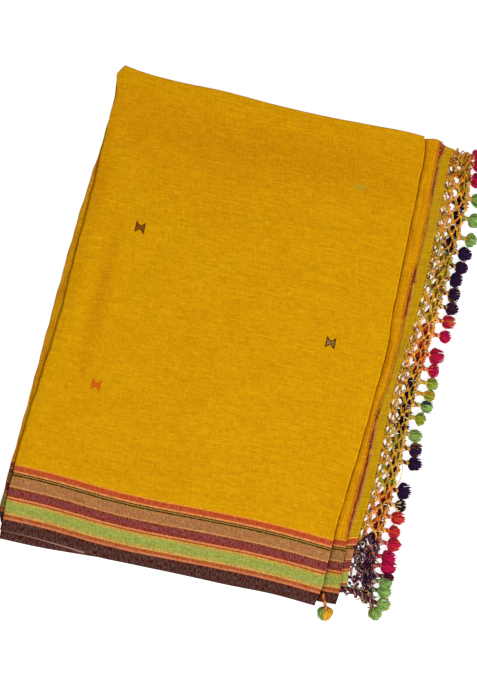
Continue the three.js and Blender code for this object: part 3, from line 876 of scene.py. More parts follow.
bottomPiece = layPacket("bottomPanel", bottomSetBack, 0)
finishPiece(bottomPiece, foldCotton, "bottom_panel")

packets = []
for index, setBack in enumerate(foldSetBacks):
    level = packet["lowest"] + index * packet["high"]
    packets.append(layPacket("innerFold" + str(index), setBack, level))
selectOnly(*packets)
bpy.ops.object.join()
innerPiece = bpy.context.object
innerPiece.name = "innerFolds"
finishPiece(innerPiece, foldCotton, "inner_folds")
print("hidden folds laid")

# yarn: each wool as the finished picture shows it

wools = {
    "magenta": (196, 10, 78),
    "crimson": (200, 24, 66),
    "redOrange": (214, 62, 44),
    "orange": (232, 118, 30),
    "amber": (222, 150, 28),
    "green": (140, 176, 92),
    "paleGreen": (156, 182, 100),
    "yellowGreen": (162, 166, 44),
    "olive": (132, 116, 34),
    "brown": (128, 74, 36),
    "purple": (44, 14, 56),
    "maroon": (74, 18, 38),
    "darkRed": (104, 18, 24),
    "rose": (190, 124, 112),
    "teal": (46, 62, 60),
    "peach": (234, 166, 84),
    "cream": (240, 206, 136),
    "gold": (232, 172, 36),
    "tan": (214, 150, 50),
    "oliveGold": (190, 152, 28),
    "rust": (168, 92, 28),
    # shadow: a dark tone mixed into the net as painted shade between the cords
    "shadow": (112, 72, 26),
    "grey": (112, 84, 72),
    "blackPurple": (34, 12, 36),
}


def startYarn():
    return {"points": [], "faces": [], "tones": [], "count": 0}


def squareTo(path, lean):
    # two directions square to a path at each of its points; the lean is for upright stretches
    travel = np.gradient(path, axis=0)
    travel /= np.linalg.norm(travel, axis=1)[:, None] + 1e-12
    aside = np.cross(np.array([lean, 0.02, 1.0]), travel)
    aside /= np.linalg.norm(aside, axis=1)[:, None] + 1e-12
    return aside, np.cross(travel, aside)


def addTube(yarn, path, radius, sides, tone):
    # a strand of yarn along a path in metres, closed at both ends, in one tone
    path = np.asarray(path, dtype=float)
    count = len(path)
    aside, over = squareTo(path, 0.05)
    angle = np.arange(sides) / sides * 2 * math.pi
    radius = np.broadcast_to(np.asarray(radius, dtype=float), (count,))
    ring = aside[:, None, :] * np.cos(angle)[None, :, None]
    ring = ring + over[:, None, :] * np.sin(angle)[None, :, None]
    points = path[:, None, :] + ring * radius[:, None, None]
    first = yarn["count"]
    last = first + (count - 1) * sides
    here = np.arange(first, last)
    turn = np.where((here - first) % sides == sides - 1, 1 - sides, 1)
    quads = np.stack([here, here + turn, here + turn + sides, here + sides], axis=1)
    yarn["faces"].extend(quads.tolist())
    yarn["faces"].append(list(range(first + sides - 1, first - 1, -1)))
    yarn["faces"].append(list(range(last, last + sides)))
    yarn["points"].append(points.reshape(-1, 3))
    yarn["tones"].append(np.tile(np.asarray(tone, dtype=float), (count * sides, 1)))
    yarn["count"] += count * sides


def yarnPiece(name, yarn):
    mesh = bpy.data.meshes.new(name)
    mesh.from_pydata(np.concatenate(yarn["points"]).tolist(), [], yarn["faces"])
    tones = mesh.color_attributes.new("yarnTone", "FLOAT_COLOR", "POINT")
    tones.data.foreach_set("color", np.concatenate(yarn["tones"]).ravel())
    piece = bpy.data.objects.new(name, mesh)
    bpy.context.collection.objects.link(piece)
    selectOnly(piece)
    bpy.ops.object.shade_smooth()
    return piece


def toneOf(wool, chance, spread=0.16, gain=1.0):
    red, green, blue, _ = colour(*wools[wool])
    size = gain * (1 + chance.uniform(-spread, spread))
    return (red * size, green * size, blue * size, 1)


def anyTurn(chance):
    return chance.uniform(0, 6.28)


def makeYarnFinish(name, roughness, bumpMm):
    material, tree, shader = newFinish(name, roughness, 0.03, 0.6, 0.05)
    tone = addNode(tree, "ShaderNodeAttribute", attribute_name="yarnTone", attribute_type="GEOMETRY")
    where = addNode(tree, "ShaderNodeTexCoord").outputs["Object"]
    inputs = {"Vector": where, "Scale": 1900.0, "Detail": 3.0}
    fibre = addNode(tree, "ShaderNodeTexNoise", inputs).outputs[0]
    bright = drawnOut(tree, fibre, 0.3, 0.7, 0.78, 1.2)
    shaded = reckonVector(tree, "SCALE", tone.outputs["Color"], bright)
    dress(tree, shader, shaded, 0.6, bumpMm, fibre)
    return material


fringeYarn = makeYarnFinish("fringeYarn", 0.85, 0.3)
tasselWool = makeYarnFinish("tasselWool", 0.92, 0.4)

# cords in mm: radius of a ply, how far a ply lies from the middle, and the length of one turn
cords = {
    "bundle": (0.56, 1.0, 11.0),
    "scallop": (0.62, 0.58, 5.0),
    "stem": (0.92, 1.0, 9.0),
    "side": (0.58, 0.6, 5.0),
    "tangle": (0.55, 0.5, 3.6),
    "foot": (1.15, 1.0, 11.0),
    "sagging": (0.34, 0.3, 2.6),
    "tassel": (0.85, 1.0, 8.0),
}


def curveThrough(start, leave, arrive, end, count):
    share = np.linspace(0, 1, count)[:, None]
    return (
        start * (1 - share) ** 3 + leave * 3 * share * (1 - share) ** 2
        + arrive * 3 * share ** 2 * (1 - share) + end * share ** 3
    )


def doubleBend(middle, step, aside):
    # a short thread that bends one way and back about its middle
    leave = middle - step * 0.3 + aside
    arrive = middle + step * 0.3 - aside
    return curveThrough(middle - step, leave, arrive, middle + step, 10)


def pathThrough(bends, count):
    # straight from bend to bend: how many bends each point has passed, and the points
    bends = np.array(bends)
    order = np.arange(len(bends))
    passed = np.linspace(0, len(bends) - 1, count)
    return passed, np.stack([np.interp(passed, order, bends[:, axis]) for axis in range(3)], axis=1)


def twistedCord(yarn, path, kind, tones, phase, sides=3, spread=1.0):
    # plies laid round one another along a path in mm
    plyRadius, layRadius, pitch = cords[kind]
    steps = np.linalg.norm(np.diff(path, axis=0), axis=1)
    length = np.concatenate([[0], np.cumsum(steps)])
    aside, over = squareTo(path, 0.03)
    layRadius = np.broadcast_to(np.asarray(layRadius * spread, dtype=float), (len(path),))
    for ply, tone in enumerate(tones):
        angle = phase + 2 * math.pi * (length / pitch + ply / len(tones))
        ringed = aside * np.cos(angle)[:, None] + over * np.sin(angle)[:, None]
        strand = path + ringed * layRadius[:, None]
        addTube(yarn, onPart(*strand.T), plyRadius * mm, sides, tone)


# the knotted net, of loose bundles between rows of knots, thinner from row to row

net = {
    "cells": 34,
    "upperHeight": 12.15,
    "lowerHeight": 10.35,
    "lowerSetBack": 19,
    "knotRows": [0.24, 0.45, 0.67, 0.85, 1.0],
    "rowPlies": [4, 4, 3, 3],
    "rowThick": [1.45, 1.2, 0.85, 0.8],
    "knotRadius": 1.9,
    "knotReach": 1.5,
    "knotYarn": 0.66,
    "pairGap": 1.0,
    "strays": 80,
    "headInset": 2,
    "footInset": 2.5,
    "outerInset": 4,
    "seamGap": 0.3,
    "looseBelow": -195,
    "darkSeamBelow": -205,
    "thinSeamBelow": -228,
    "spread": 0.2,
    "gain": 1.22,
    "seamRadius": (0.74, 1.04),
    "stemInset": 1.5,
    "upperSeed": 41,
    "lowerSeed": 57,
}
outward = np.array([1.0, 0.0, 0.0])

# wools of the net from the head to the foot: from which y up, and the tones mixed there
netTones = [
    (246, ["orange", "gold", "rust", "tan", "shadow", "oliveGold"]),
    (180, ["gold", "peach", "oliveGold", "tan", "gold", "orange"]),
    (110, ["gold", "oliveGold", "yellowGreen", "tan", "peach", "shadow"]),
    (70, ["gold", "peach", "oliveGold", "tan", "cream"]),
    (20, ["orange", "gold", "peach", "rust", "tan"]),
    (-60, ["gold", "peach", "oliveGold", "tan", "shadow"]),
    (-130, ["gold", "oliveGold", "tan", "yellowGreen", "peach"]),
    (-190, ["orange", "gold", "peach", "rust", "tan"]),
    (-236, ["maroon", "grey", "rose", "purple", "blackPurple", "rust"]),
    (-300, ["grey", "maroon", "rose", "blackPurple", "purple"]),
]
# wools of the warp ends along the cloth's edge, before the first knots
seamTones = ["oliveGold", "tan", "shadow", "gold", "oliveGold", "rust", "olive"]


def netTone(y, chance):
    names = next(names for start, names in netTones if y > start)
    return toneOf(chance.choice(names), chance, net["spread"], net["gain"])


def netSpot(setBack, alongShare, acrossShare):
    # a place on the net, by its share of the way from head to foot and from the cloth outwards
    def along(head, foot):
        return head * (1 - alongShare) + foot * alongShare

    innerY = along(palluEnd[-1][0] - net["headInset"], palluEnd[0][0] + net["footInset"])
    outerY = along(netOuterEdge[-1][0], netOuterEdge[0][0] + net["outerInset"])
    innerX = float(edgeAt(palluEnd, innerY)) + net["seamGap"]
    outerX = float(edgeAt(netOuterEdge, outerY))
    x = innerX * (1 - acrossShare) + outerX * acrossShare - setBack
    y = innerY * (1 - acrossShare) + outerY * acrossShare
    return x, y


# rows of openings in the net: share across it, shift in cells, half sizes in mm, how many are open
openingRows = [
    {"across": 0.2, "shift": 0.5, "size": (1.0, 2.4), "open": 0.14},
    {"across": 0.39, "shift": 0.0, "size": (2.5, 3.3), "open": 0.75},
    {"across": 0.58, "shift": 0.5, "size": (2.4, 2.8), "open": 0.7},
    {"across": 0.81, "shift": 0.0, "size": (2.0, 2.3), "open": 0.45},
]
openingSpan = {"foot": -190, "head": 262, "near": 30, "seed": 29}
# large openings at the foot corner: middle and half sizes
cornerOpenings = [
    (218.5, -240, 3.2, 5.5), (216, -252.5, 3.4, 4.2), (243.5, -226, 2.4, 4), (244.5, -246, 3.2, 6),
    (229, -253, 2.4, 2.4), (222, -203, 2.4, 3), (219.5, -221, 2.2, 3), (237, -203, 1.6, 2.4),
    (236.5, -260, 3.4, 2.2),
]


def placeOpenings():
    chance = random.Random(openingSpan["seed"])
    spots = list(cornerOpenings)
    for row in openingRows:
        wide, high = row["size"]
        for index in range(net["cells"] + 1):
            if chance.random() > row["open"]:
                continue
            share = (index + row["shift"]) / net["cells"]
            x, y = netSpot(0, share, row["across"])
            if y < openingSpan["foot"] or y > openingSpan["head"] or share > 1:
                continue
            size = chance.uniform(0.75, 1.2)
            x += chance.uniform(-1, 1)
            y += chance.uniform(-2.2, 2.2)
            spots.append((x, y, wide * size, high * size))
    return np.array(spots)


openings = placeOpenings()


def clearOf(path):
    # yarn that would cross an opening runs round it
    path = path.copy()
    for x, y, wide, high in openings:
        if abs(path[0, 1] - y) > openingSpan["near"]:
            continue
        away = np.stack([(path[:, 0] - x) / wide, (path[:, 1] - y) / high], axis=1)
        size = np.linalg.norm(away, axis=1) + 1e-6
        pushed = np.where(size < 1.7, 1.0 + size * 0.7 / 1.7, size)
        path[:, 0] = x + away[:, 0] / size * pushed * wide
        path[:, 1] = y + away[:, 1] / size * pushed * high
    return path


def placeKnots(setBack, height, chance):
    # every second row lies half a cell on; at the foot the knots stray further
    knots = {}
    for rowIndex, share in enumerate(net["knotRows"]):
        shift = rowIndex % 2
        for index in range(net["cells"] + 1 - shift):
            cell = index + 0.5 * shift
            x, y = netSpot(setBack, cell / net["cells"], share)
            loose = 1.0 if y > net["looseBelow"] else 1.6
            x += chance.uniform(-0.8, 0.8) * loose
            y += chance.uniform(-1.6, 1.6) * loose
            knots[rowIndex, cell] = np.array([x, y, height + chance.uniform(-0.25, 0.25)])
    return knots


def gatherEnds(yarn, knots, setBack, height, chance):
    # warp ends gathered from the cloth's end into the first row of knots
    cells = net["cells"]
    for index in range(cells + 1):
        knot = knots[0, float(index)]
        spread = 8 if knot[1] > net["thinSeamBelow"] else 2
        for thread in range(-spread, spread + 1):
            cell = min(max(index + thread * 0.062, 0), cells)
            x, y = netSpot(setBack, cell / cells, -0.03)
            root = np.array([x, y + chance.uniform(-0.3, 0.3), height + 0.25])
            aim = knot + np.array([chance.uniform(-1.2, 0.7), 0.8 * thread, 0])
            path = clearOf(curveThrough(root, root + outward * 2.2, aim - outward * 0.8, aim, 6))
            if knot[1] > net["darkSeamBelow"]:
                tone = toneOf(chance.choice(seamTones), chance, 0.25)
            else:
                tone = netTone(knot[1], chance)
            addTube(yarn, onPart(*path.T), chance.uniform(*net["seamRadius"]) * mm, 3, tone)


def layBundles(yarn, knots, chance):
    # loose bundles from each knot to the two beside it in the next row
    for (rowIndex, cell), knot in knots.items():
        for side in (-1, 1):
            other = knots.get((rowIndex + 1, cell + 0.5 * side))
            if other is None:
                continue
            start = knot + np.array([net["knotReach"] * 0.5, -side * net["pairGap"], 0])
            end = other + np.array([-net["knotReach"] * 0.5, side * net["pairGap"], 0])
            gap = end[0] - start[0]
            leave = start + outward * gap * chance.uniform(0.5, 0.9)
            arrive = end - outward * gap * chance.uniform(0.5, 0.9)
            path = clearOf(curveThrough(start, leave, arrive, end, 9))
            path[:, 2] += 0.5 * np.sin(np.linspace(0, math.pi, 9)) * chance.uniform(-0.6, 1)
            tones = [netTone(knot[1], chance) for _ in range(net["rowPlies"][rowIndex])]
            thick = chance.uniform(0.8, 1.2) * net["rowThick"][rowIndex]
            twistedCord(yarn, path, "bundle", tones, anyTurn(chance), spread=thick)


def wrapKnots(yarn, knots, chance):
    # each knot: a few turns wrapped round the bundles that meet
    for (rowIndex, _), knot in knots.items():
        turns = chance.uniform(2.0, 3.2)
        angle = np.linspace(0, turns * 2 * math.pi, int(turns * 5) + 1) + anyTurn(chance)
        size = net["knotRadius"] * chance.uniform(0.85, 1.2) * (1 if rowIndex < 2 else 0.8)
        length = np.linspace(-1, 1, len(angle)) * net["knotReach"]
        slant = chance.uniform(-0.5, 0.5)
        aside = np.cos(angle) * size * 1.1 + length * slant
        path = knot + np.stack([length, aside, np.sin(angle) * size * 0.62], axis=1)
        addTube(yarn, onPart(*path.T), net["knotYarn"] * mm, 4, netTone(knot[1], chance))


def knotNet(yarn, setBack, height, chance):
    knots = placeKnots(setBack, height, chance)
    gatherEnds(yarn, knots, setBack, height, chance)
    layBundles(yarn, knots, chance)
    wrapKnots(yarn, knots, chance)
    # cords that hang in bows from one outer knot to the next
    last = len(net["knotRows"]) - 1
    outer = sorted(cell for level, cell in knots if level == last)
    for cell, after in zip(outer, outer[1:]):
        start, end = knots[last, cell], knots[last, after]
        for _ in range(1 if start[1] > net["looseBelow"] else 2):
            dip = np.array([chance.uniform(-3.5, 0.5), 0, chance.uniform(-0.4, 0.8)])
            leave = start * 0.7 + end * 0.3 + dip
            arrive = start * 0.3 + end * 0.7 + dip
            path = curveThrough(start, leave, arrive, end, 9)
            tones = [netTone(start[1], chance) for _ in range(2)]
            twistedCord(yarn, path, "scallop", tones, anyTurn(chance))


def layStrays(yarn, chance):
    # single threads that have worked loose and lie across the net, most of them along its outer edge
    for _ in range(net["strays"]):
        y = chance.uniform(netOuterEdge[0][0] + 6, netOuterEdge[-1][0] - 6)
        inner, outer = float(edgeAt(palluEnd, y)), float(edgeAt(netOuterEdge, y))
        x = inner + (outer - inner) * min(1.04, chance.triangular(0.05, 1.15, 0.95))
        turn = chance.uniform(0, math.pi)
        length = chance.uniform(4, 8)
        step = np.array([math.cos(turn) * 0.55, math.sin(turn), 0]) * length / 2
        aside = np.array([-math.sin(turn) * 0.6, math.cos(turn), 0]) * chance.uniform(-3.5, 3.5)
        middle = np.array([x, y, chance.uniform(11.7, 13.4)])
        path = clearOf(doubleBend(middle, step, aside))
        addTube(yarn, onPart(*path.T), chance.uniform(0.3, 0.5) * mm, 3, netTone(y, chance))


# pompoms: heights, clearance and thread radius in mm, how far they swell and stand out

pompom = {
    "high": 11.4,
    "lowerHigh": 10.6,
    "clear": 0.6,
    "swell": 1.18,
    "outward": 2.0,
    "strands": 96,
    "lowerStrands": 76,
    "radius": 1.14,
    "secondShare": 0.12,
}

# pompoms of the upper net: y, x, size across and along the stem, wool and the wool mixed in
upperPompoms = [
    (286, 256, 14, 14, "magenta", "crimson"),
    (273, 259, 14, 14.5, "magenta", "crimson"),
    (255, 261, 17, 15, "magenta", "maroon"),
    (231, 266.5, 15, 15, "green", "yellowGreen"),
    (207, 268, 15.5, 14, "green", "paleGreen"),
    (183, 268.5, 15, 13, "green", "yellowGreen"),
    (165, 265, 14.5, 15, "purple", "purple"),
    (148, 264.5, 13.5, 14.5, "purple", "maroon"),
    (132, 261.3, 16.5, 13, "purple", "purple"),
    (114, 263, 17, 14, "purple", "brown"),
    (97, 264, 13.5, 13.5, "purple", "maroon"),
    (80, 263.5, 15, 14, "crimson", "orange"),
    (62, 263, 13.5, 12.5, "magenta", "redOrange"),
    (37, 258.5, 17.5, 16, "crimson", "magenta"),
    (19, 258.5, 15, 12, "magenta", "orange"),
    (3, 260.5, 13, 12.5, "yellowGreen", "green"),
    (-11, 260, 12.5, 12.5, "yellowGreen", "amber"),
    (-25, 260, 14, 13, "green", "teal"),
    (-41, 255.7, 14, 12, "yellowGreen", "green"),
    (-62, 254, 13.5, 15, "paleGreen", "green"),
    (-79, 257.8, 16.5, 13.5, "purple", "brown"),
    (-96, 260.7, 15, 15, "purple", "purple"),
    (-131, 255, 19, 14.5, "purple", "purple"),
    (-149, 255, 13.5, 12, "blackPurple", "cream"),
    (-164, 255, 14, 15, "redOrange", "magenta"),
    (-181, 254.5, 13.5, 13.5, "redOrange", "crimson"),
    (-196, 257.3, 15, 15, "crimson", "redOrange"),
    (-213, 254.5, 16, 15, "magenta", "crimson"),
    (-224, 256.5, 16, 16, "magenta", "crimson"),
    (-236, 259, 10, 12, "maroon", "maroon"),
    (-243, 257.5, 15, 14, "green", "paleGreen"),
    (-254, 258.5, 15.5, 15, "green", "green"),
    (-269, 260.5, 15, 14, "green", "yellowGreen"),
    (-283, 252.5, 15, 15, "green", "olive"),
]

# wools of the lower pompoms, which show through the net: from which y up
lowerWools = [
    (232, "oliveGold", "rust"),
    (168, "purple", "blackPurple"),
    (120, "yellowGreen", "olive"),
    (72, "oliveGold", "brown"),
    (30, "redOrange", "darkRed"),
    (6, "darkRed", "redOrange"),
    (-66, "blackPurple", "maroon"),
    (-92, "olive", "brown"),
    (-122, "blackPurple", "purple"),
    (-136, "olive", "yellowGreen"),
    (-152, "redOrange", "darkRed"),
    (-190, "darkRed", "redOrange"),
    (-232, "purple", "maroon"),
    (-300, "teal", "purple"),
]
lowerRow = {"count": 32, "headInset": 6, "footInset": 10, "out": 12, "across": 16.4, "along": 14}


def woolPompom(yarn, middle, direction, ball, chance, halved=False):
    # a cut ball of wool strands that all leave the bound neck; unit ball first, then to size
    wool, second, strands = ball["wool"], ball["second"], ball["strands"]
    aside = np.array([-direction[1], direction[0], 0.0])
    up = np.array([0.0, 0.0, 1.0])
    halfLong = ball["along"] * pompom["swell"] / 2
    halfWide = ball["across"] * pompom["swell"] / 2
    frameRows = np.stack([direction * halfLong, aside * halfWide, up * (ball["high"] / 2 - 0.7)])

    def placed(local):
        spot = middle + local @ frameRows
        return onPart(*spot.T)

    core = np.outer([-0.98, -0.62, -0.1, 0.45, 0.8], [1, 0, 0])
    coreRadius = np.array([0.28, 0.64, 0.8, 0.62, 0.2]) * ball["high"] / 2 * mm
    addTube(yarn, placed(core), coreRadius, 8, toneOf(wool, chance))
    golden = math.pi * (3 - math.sqrt(5))
    lobes = [anyTurn(chance) for _ in range(4)]
    for strand in range(strands):
        level = 1 - 1.86 * (strand + 0.5) / strands
        ring = math.sqrt(max(0.0, 1 - level * level))
        turn = strand * golden + chance.uniform(-0.3, 0.3)
        away = np.array([level, ring * math.cos(turn), ring * math.sin(turn)])
        uneven = 0.08 * math.sin(3 * turn + lobes[0]) + 0.08 * math.sin(4 * level + lobes[1]) - 0.03
        size = chance.uniform(0.88, 1.03) + (0.08 if chance.random() < 0.06 else 0)
        end = away * (size + uneven * (1 - abs(away[2])))
        end[2] = max(-1.0, min(1.02, end[2]))
        start = np.array([-1.08, away[1] * 0.14, away[2] * 0.14])
        bulge = np.array([0.0, away[1], away[2]]) * chance.uniform(0.3, 0.6)
        control = (start + end) / 2 + bulge
        share = np.array([0.12, 0.45, 0.78, 1.0])[:, None]
        path = start * (1 - share) ** 2 + control * 2 * share * (1 - share) + end * share ** 2
        inPatch = math.sin(2 * turn + lobes[2]) + 0.7 * math.sin(3 * level + lobes[3]) > 0.75
        mixed = second if inPatch or chance.random() < pompom["secondShare"] else wool
        if halved:
            mixed = second if away[1] + chance.uniform(-0.45, 0.45) < -0.2 else wool
        thick = chance.uniform(0.8, 1.15)
        radius = np.array([0.4, 0.6, 0.7, 0.5]) * thick * pompom["radius"] * mm
        addTube(yarn, placed(path), radius, 3, toneOf(mixed, chance, 0.32))


def hangPompom(yarn, root, middle, ball, chance, bound=True):
    stemTones = [toneOf(ball["wool"], chance), toneOf(ball["second"], chance)]
    stemTones += [netTone(root[1], chance) for _ in range(2)]
    direction = middle - root
    direction[2] = 0
    direction /= np.linalg.norm(direction)
    neck = middle - direction * ball["along"] * 0.56
    reach = direction * max(np.linalg.norm((neck - root)[:2]) * 0.45, 1.0)
    path = curveThrough(root, root + reach, neck - reach, neck + direction * 0.8, 10)
    twistedCord(yarn, path, "stem", stemTones, anyTurn(chance), spread=np.linspace(1.1, 2.5, 10))
    # two cords of the net run on from either side and are bound in at the neck
    for side in (-1, 1) if bound else ():
        away = root + np.array([chance.uniform(-1.5, 0.5), side * chance.uniform(4, 6.5), 0.3])
        path = curveThrough(away, away * 0.6 + neck * 0.4, neck - reach * 0.6, neck, 7)
        twistedCord(yarn, path, "side", stemTones[1:], anyTurn(chance))
    # the binding round the neck, two turns
    angle = np.linspace(0, 2 * 2 * math.pi, 13)
    length = np.linspace(-0.7, 0.7, len(angle))
    turned = np.stack([length, np.cos(angle) * 2.3, np.sin(angle) * 2.1], axis=1)
    aside = np.array([-direction[1], direction[0], 0.0])
    path = neck + turned @ np.stack([direction, aside, np.array([0, 0, 1.0])])
    addTube(yarn, onPart(*path.T), 0.42 * mm, 4, stemTones[0])
    woolPompom(yarn, middle, direction, ball, chance)


# where loose ends of the net lie tangled: from and to in x and y, how far they turn, how many
tangles = [
    {"x": (227, 250), "y": (252, 284), "turn": 0.9, "count": 26,
     "wools": ["orange", "rust", "oliveGold", "shadow"]},
    {"x": (214, 241), "y": (-228, -194), "turn": 3.1, "count": 52,
     "wools": ["maroon", "purple", "rose", "blackPurple"]},
    {"x": (224, 241), "y": (-246, -226), "turn": 3.1, "count": 22,
     "wools": ["purple", "maroon", "blackPurple"]},
    {"x": (214, 230), "y": (-260, -254), "turn": 0.7, "count": 18,
     "wools": ["maroon", "grey", "rose", "green"]},
    {"x": (230, 250), "y": (-268, -259), "turn": 0.9, "count": 20,
     "wools": ["maroon", "grey", "rose", "green", "tan"]},
]


def layTangle(yarn, tangle, chance):
    for _ in range(tangle["count"]):
        x = chance.uniform(*tangle["x"])
        y = chance.uniform(*tangle["y"])
        turn = chance.uniform(-tangle["turn"], tangle["turn"])
        step = np.array([math.cos(turn), math.sin(turn), 0]) * chance.uniform(3, 6)
        aside = np.array([-math.sin(turn), math.cos(turn), 0]) * chance.uniform(-4, 4)
        middle = np.array([x, y, chance.uniform(11.9, 13.3)])
        path = doubleBend(middle, step, aside)
        tones = [toneOf(chance.choice(tangle["wools"]), chance, 0.25) for _ in range(2)]
        twistedCord(yarn, clearOf(path), "tangle", tones, anyTurn(chance))


# the thick dark cord along the net's foot, and the strand that sags loose beside the net
footCord = {
    "bends": [
        [206, -262.5, 12.4], [215, -259, 12.7], [226, -261, 12.6], [238, -264.5, 12.3],
        [252, -269, 11.8],
    ],
    "points": 56,
    "waver": 0.5,
    "wools": ["maroon", "grey", "blackPurple", "purple", "rose", "blackPurple", "maroon"],
}
saggingStrand = {
    "bends": [[242.5, -92, 12], [250, -98, 11], [251, -122, 11], [243, -128, 12]],
    "points": 22,
    "wools": ["cream", "amber"],
}


def layFootCord(yarn, chance):
    passed, path = pathThrough(footCord["bends"], footCord["points"])
    path[:, :2] += np.stack([np.sin(passed * 5.1), np.sin(passed * 6.7)], axis=1) * footCord["waver"]
    tones = [toneOf(name, chance) for name in footCord["wools"]]
    thick = 2.1 + 0.5 * np.sin(passed * 4.3)
    twistedCord(yarn, path, "foot", tones, 0.0, 4, thick)
    path = curveThrough(*np.array(saggingStrand["bends"]), saggingStrand["points"])
    tones = [toneOf(name, chance) for name in saggingStrand["wools"]]
    twistedCord(yarn, path, "sagging", tones, 0.0, 4)


def hangUpper():
    chance = random.Random(net["upperSeed"])
    yarn = startYarn()
    height = net["upperHeight"]
    knotNet(yarn, 0, height, chance)
    layStrays(yarn, chance)
    for tangle in tangles:
        layTangle(yarn, tangle, chance)
    for y, x, across, along, wool, second in upperPompoms:
        ball = {
            "across": across, "along": along, "high": pompom["high"], "wool": wool, "second": second,
            "strands": pompom["strands"],
        }
        rootY = min(max(y, netOuterEdge[0][0] + 3), netOuterEdge[-1][0] - 3)
        root = np.array([float(edgeAt(netOuterEdge, rootY)) - net["stemInset"], rootY, height])
        middle = np.array([x + pompom["outward"], y, pompom["clear"] + ball["high"] / 2])
        hangPompom(yarn, root, middle, ball, chance)
    layFootCord(yarn, chance)
    return yarnPiece("fringeUpper", yarn)


def hangLower():
    chance = random.Random(net["lowerSeed"])
    yarn = startYarn()
    knotNet(yarn, net["lowerSetBack"], net["lowerHeight"], chance)
    last = lowerRow["count"] - 1
    headY = netOuterEdge[-1][0] - lowerRow["headInset"]
    footY = netOuterEdge[0][0] + lowerRow["footInset"]
    for index in range(lowerRow["count"]):
        y = headY + (footY - headY) * index / last
        edgeX = float(edgeAt(netOuterEdge, y)) - net["lowerSetBack"]
        wool, second = next((first, other) for start, first, other in lowerWools if y > start)
        ball = {
            "across": lowerRow["across"], "along": lowerRow["along"], "high": pompom["lowerHigh"],
            "wool": wool, "second": second, "strands": pompom["lowerStrands"],
        }
        root = np.array([edgeX - net["stemInset"], y, net["lowerHeight"]])
        middleX = edgeX + lowerRow["out"] + pompom["outward"]
        middle = np.array([middleX, y, pompom["clear"] + ball["high"] / 2])
        hangPompom(yarn, root, middle, ball, chance, False)
    return yarnPiece("fringeLower", yarn)


fringeUpperPiece = hangUpper()
finishPiece(fringeUpperPiece, fringeYarn, "fringe_upper")
fringeLowerPiece = hangLower()
finishPiece(fringeLowerPiece, fringeYarn, "fringe_lower")
print("net and pompoms hung")

# the loose tassel at the corner of the selvedges

tassel = {
    "bends": [
        [186.5, -270.5, 16.35], [189, -276.5, 16.4], [191, -281, 16.2], [193.4, -286.5, 12.6],
        [194.4, -290, 9.4],
    ],
    "points": 26,
    "cordWools": ["orange", "brown", "redOrange", "amber"],
    "middle": (195, -296),
    "direction": (0.14, -0.99, 0.0),
    "seed": 73,
    "ball": {
        "across": 16.5, "along": 15, "high": pompom["high"], "wool": "gold", "second": "green",
        "strands": 130,
    },
}


def makeTassel():
    chance = random.Random(tassel["seed"])
    yarn = startYarn()
    path = pathThrough(tassel["bends"], tassel["points"])[1]
    tones = [toneOf(name, chance) for name in tassel["cordWools"]]
    twistedCord(yarn, path, "tassel", tones, 0.0, 4)
    middle = np.array([*tassel["middle"], pompom["clear"] + pompom["high"] / 2])
    woolPompom(yarn, middle, np.array(tassel["direction"]), tassel["ball"], chance, True)
    return yarnPiece("cornerTassel", yarn)


tasselPiece = makeTassel()
finishPiece(tasselPiece, tasselWool, "corner_tassel")

# short threads at the plain cut end

fray = {"radius": 0.26, "seed": 19, "inset": (0.2, 1.4), "turn": (-70, 60), "droop": 0.25}
# where it is frayed: from and to in y, how many threads, how long and their wools; all of it last
frayedSpots = [
    {"y": (-52, -36), "count": 26, "length": (2.5, 5.0), "wools": ["maroon", "brown"]},
    {"y": (-88, -78), "count": 14, "length": (2.0, 4.0), "wools": ["blackPurple", "maroon"]},
    {"y": (190, 199), "count": 10, "length": (2.0, 3.6), "wools": ["brown", "maroon"]},
    {"y": (270, 291), "count": 34, "length": (2.0, 4.5), "wools": ["redOrange", "darkRed", "crimson"]},
    {"y": (60, 230), "count": 60, "length": (1.2, 2.6), "wools": ["darkRed", "orange", "brown"]},
    {"y": (-272, 286), "count": 240, "length": (1.0, 2.8), "wools": ["amber", "brown", "orange", "cream"]},
]


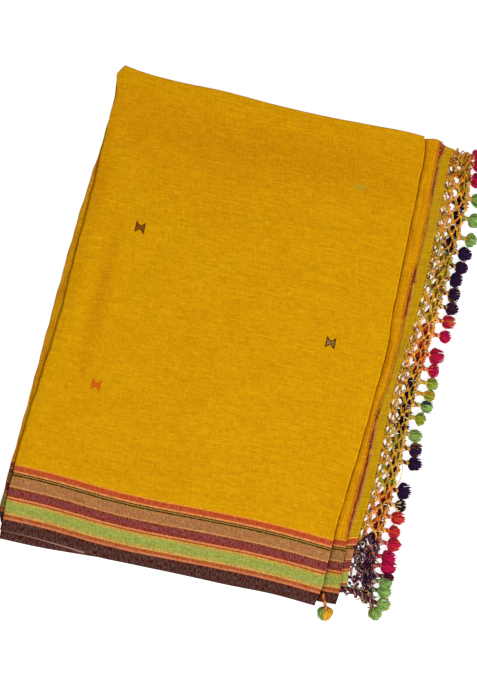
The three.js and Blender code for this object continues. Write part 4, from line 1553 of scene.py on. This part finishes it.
def frayEnd():
    chance = random.Random(fray["seed"])
    yarn = startYarn()
    for spot in frayedSpots:
        for _ in range(spot["count"]):
            y = chance.uniform(*spot["y"])
            x = float(edgeAt(plainEndRight, y)) - chance.uniform(*fray["inset"])
            root = np.array([x, y, plainEnd["top"] - 0.1])
            length = chance.uniform(*spot["length"])
            turn = math.radians(chance.uniform(*fray["turn"]))
            step = np.array([math.cos(turn), math.sin(turn), 0]) * length
            droop = np.array([0, 0, -1.0]) * length * fray["droop"]
            leave = root + step * 0.4 + [0, 0, 0.35]
            path = curveThrough(root, leave, root + step * 0.8, root + step + droop, 5)
            tone = toneOf(chance.choice(spot["wools"]), chance, 0.25)
            addTube(yarn, onPart(*path.T), fray["radius"] * mm, 3, tone)
    return yarnPiece("endThreads", yarn)


threadsPiece = frayEnd()
threadsPiece.data.materials.append(fringeYarn)
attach(threadsPiece, "root")
print("tassel and loose threads done")

print("all pieces built")

# floor, light and the look of white paper

studio = {
    "floor": 0.42, "floorSize": 8, "floorZ": -0.0004, "glow": 0.8, "world": 0.74, "key": 110,
    "keySize": 1.9, "keyPlace": (1.5, -1.83, 2.83), "keyTilt": 40, "keyTurn": 39,
}

bpy.ops.object.select_all(action="DESELECT")
bpy.ops.mesh.primitive_plane_add(size=studio["floorSize"], location=(0, 0, studio["floorZ"]))
floor = bpy.context.object
floor.name = "studioFloor"
paper = bpy.data.materials.new("paleFloor")
paper.use_nodes = True
paperShader = paper.node_tree.nodes["Principled BSDF"]
paperShader.inputs["Base Color"].default_value = (studio["floor"], studio["floor"], studio["floor"], 1)
paperShader.inputs["Roughness"].default_value = 0.9
paperShader.inputs["Emission Color"].default_value = (1, 1, 1, 1)
paperShader.inputs["Emission Strength"].default_value = studio["glow"]
floor.data.materials.append(paper)

world = bpy.context.scene.world or bpy.data.worlds.new("studioWorld")
bpy.context.scene.world = world
world.use_nodes = True
backdrop = world.node_tree.nodes["Background"]
backdrop.inputs[0].default_value = (1, 1, 1, 1)
backdrop.inputs[1].default_value = studio["world"]

bpy.ops.object.light_add(type="AREA", location=studio["keyPlace"])
key = bpy.context.object
key.name = "keyLight"
key.data.shape = "DISK"
key.data.size = studio["keySize"]
key.data.energy = studio["key"]
key.rotation_euler = (math.radians(studio["keyTilt"]), 0, math.radians(studio["keyTurn"]))
bpy.context.scene.view_settings.view_transform = "Standard"
print("light set")
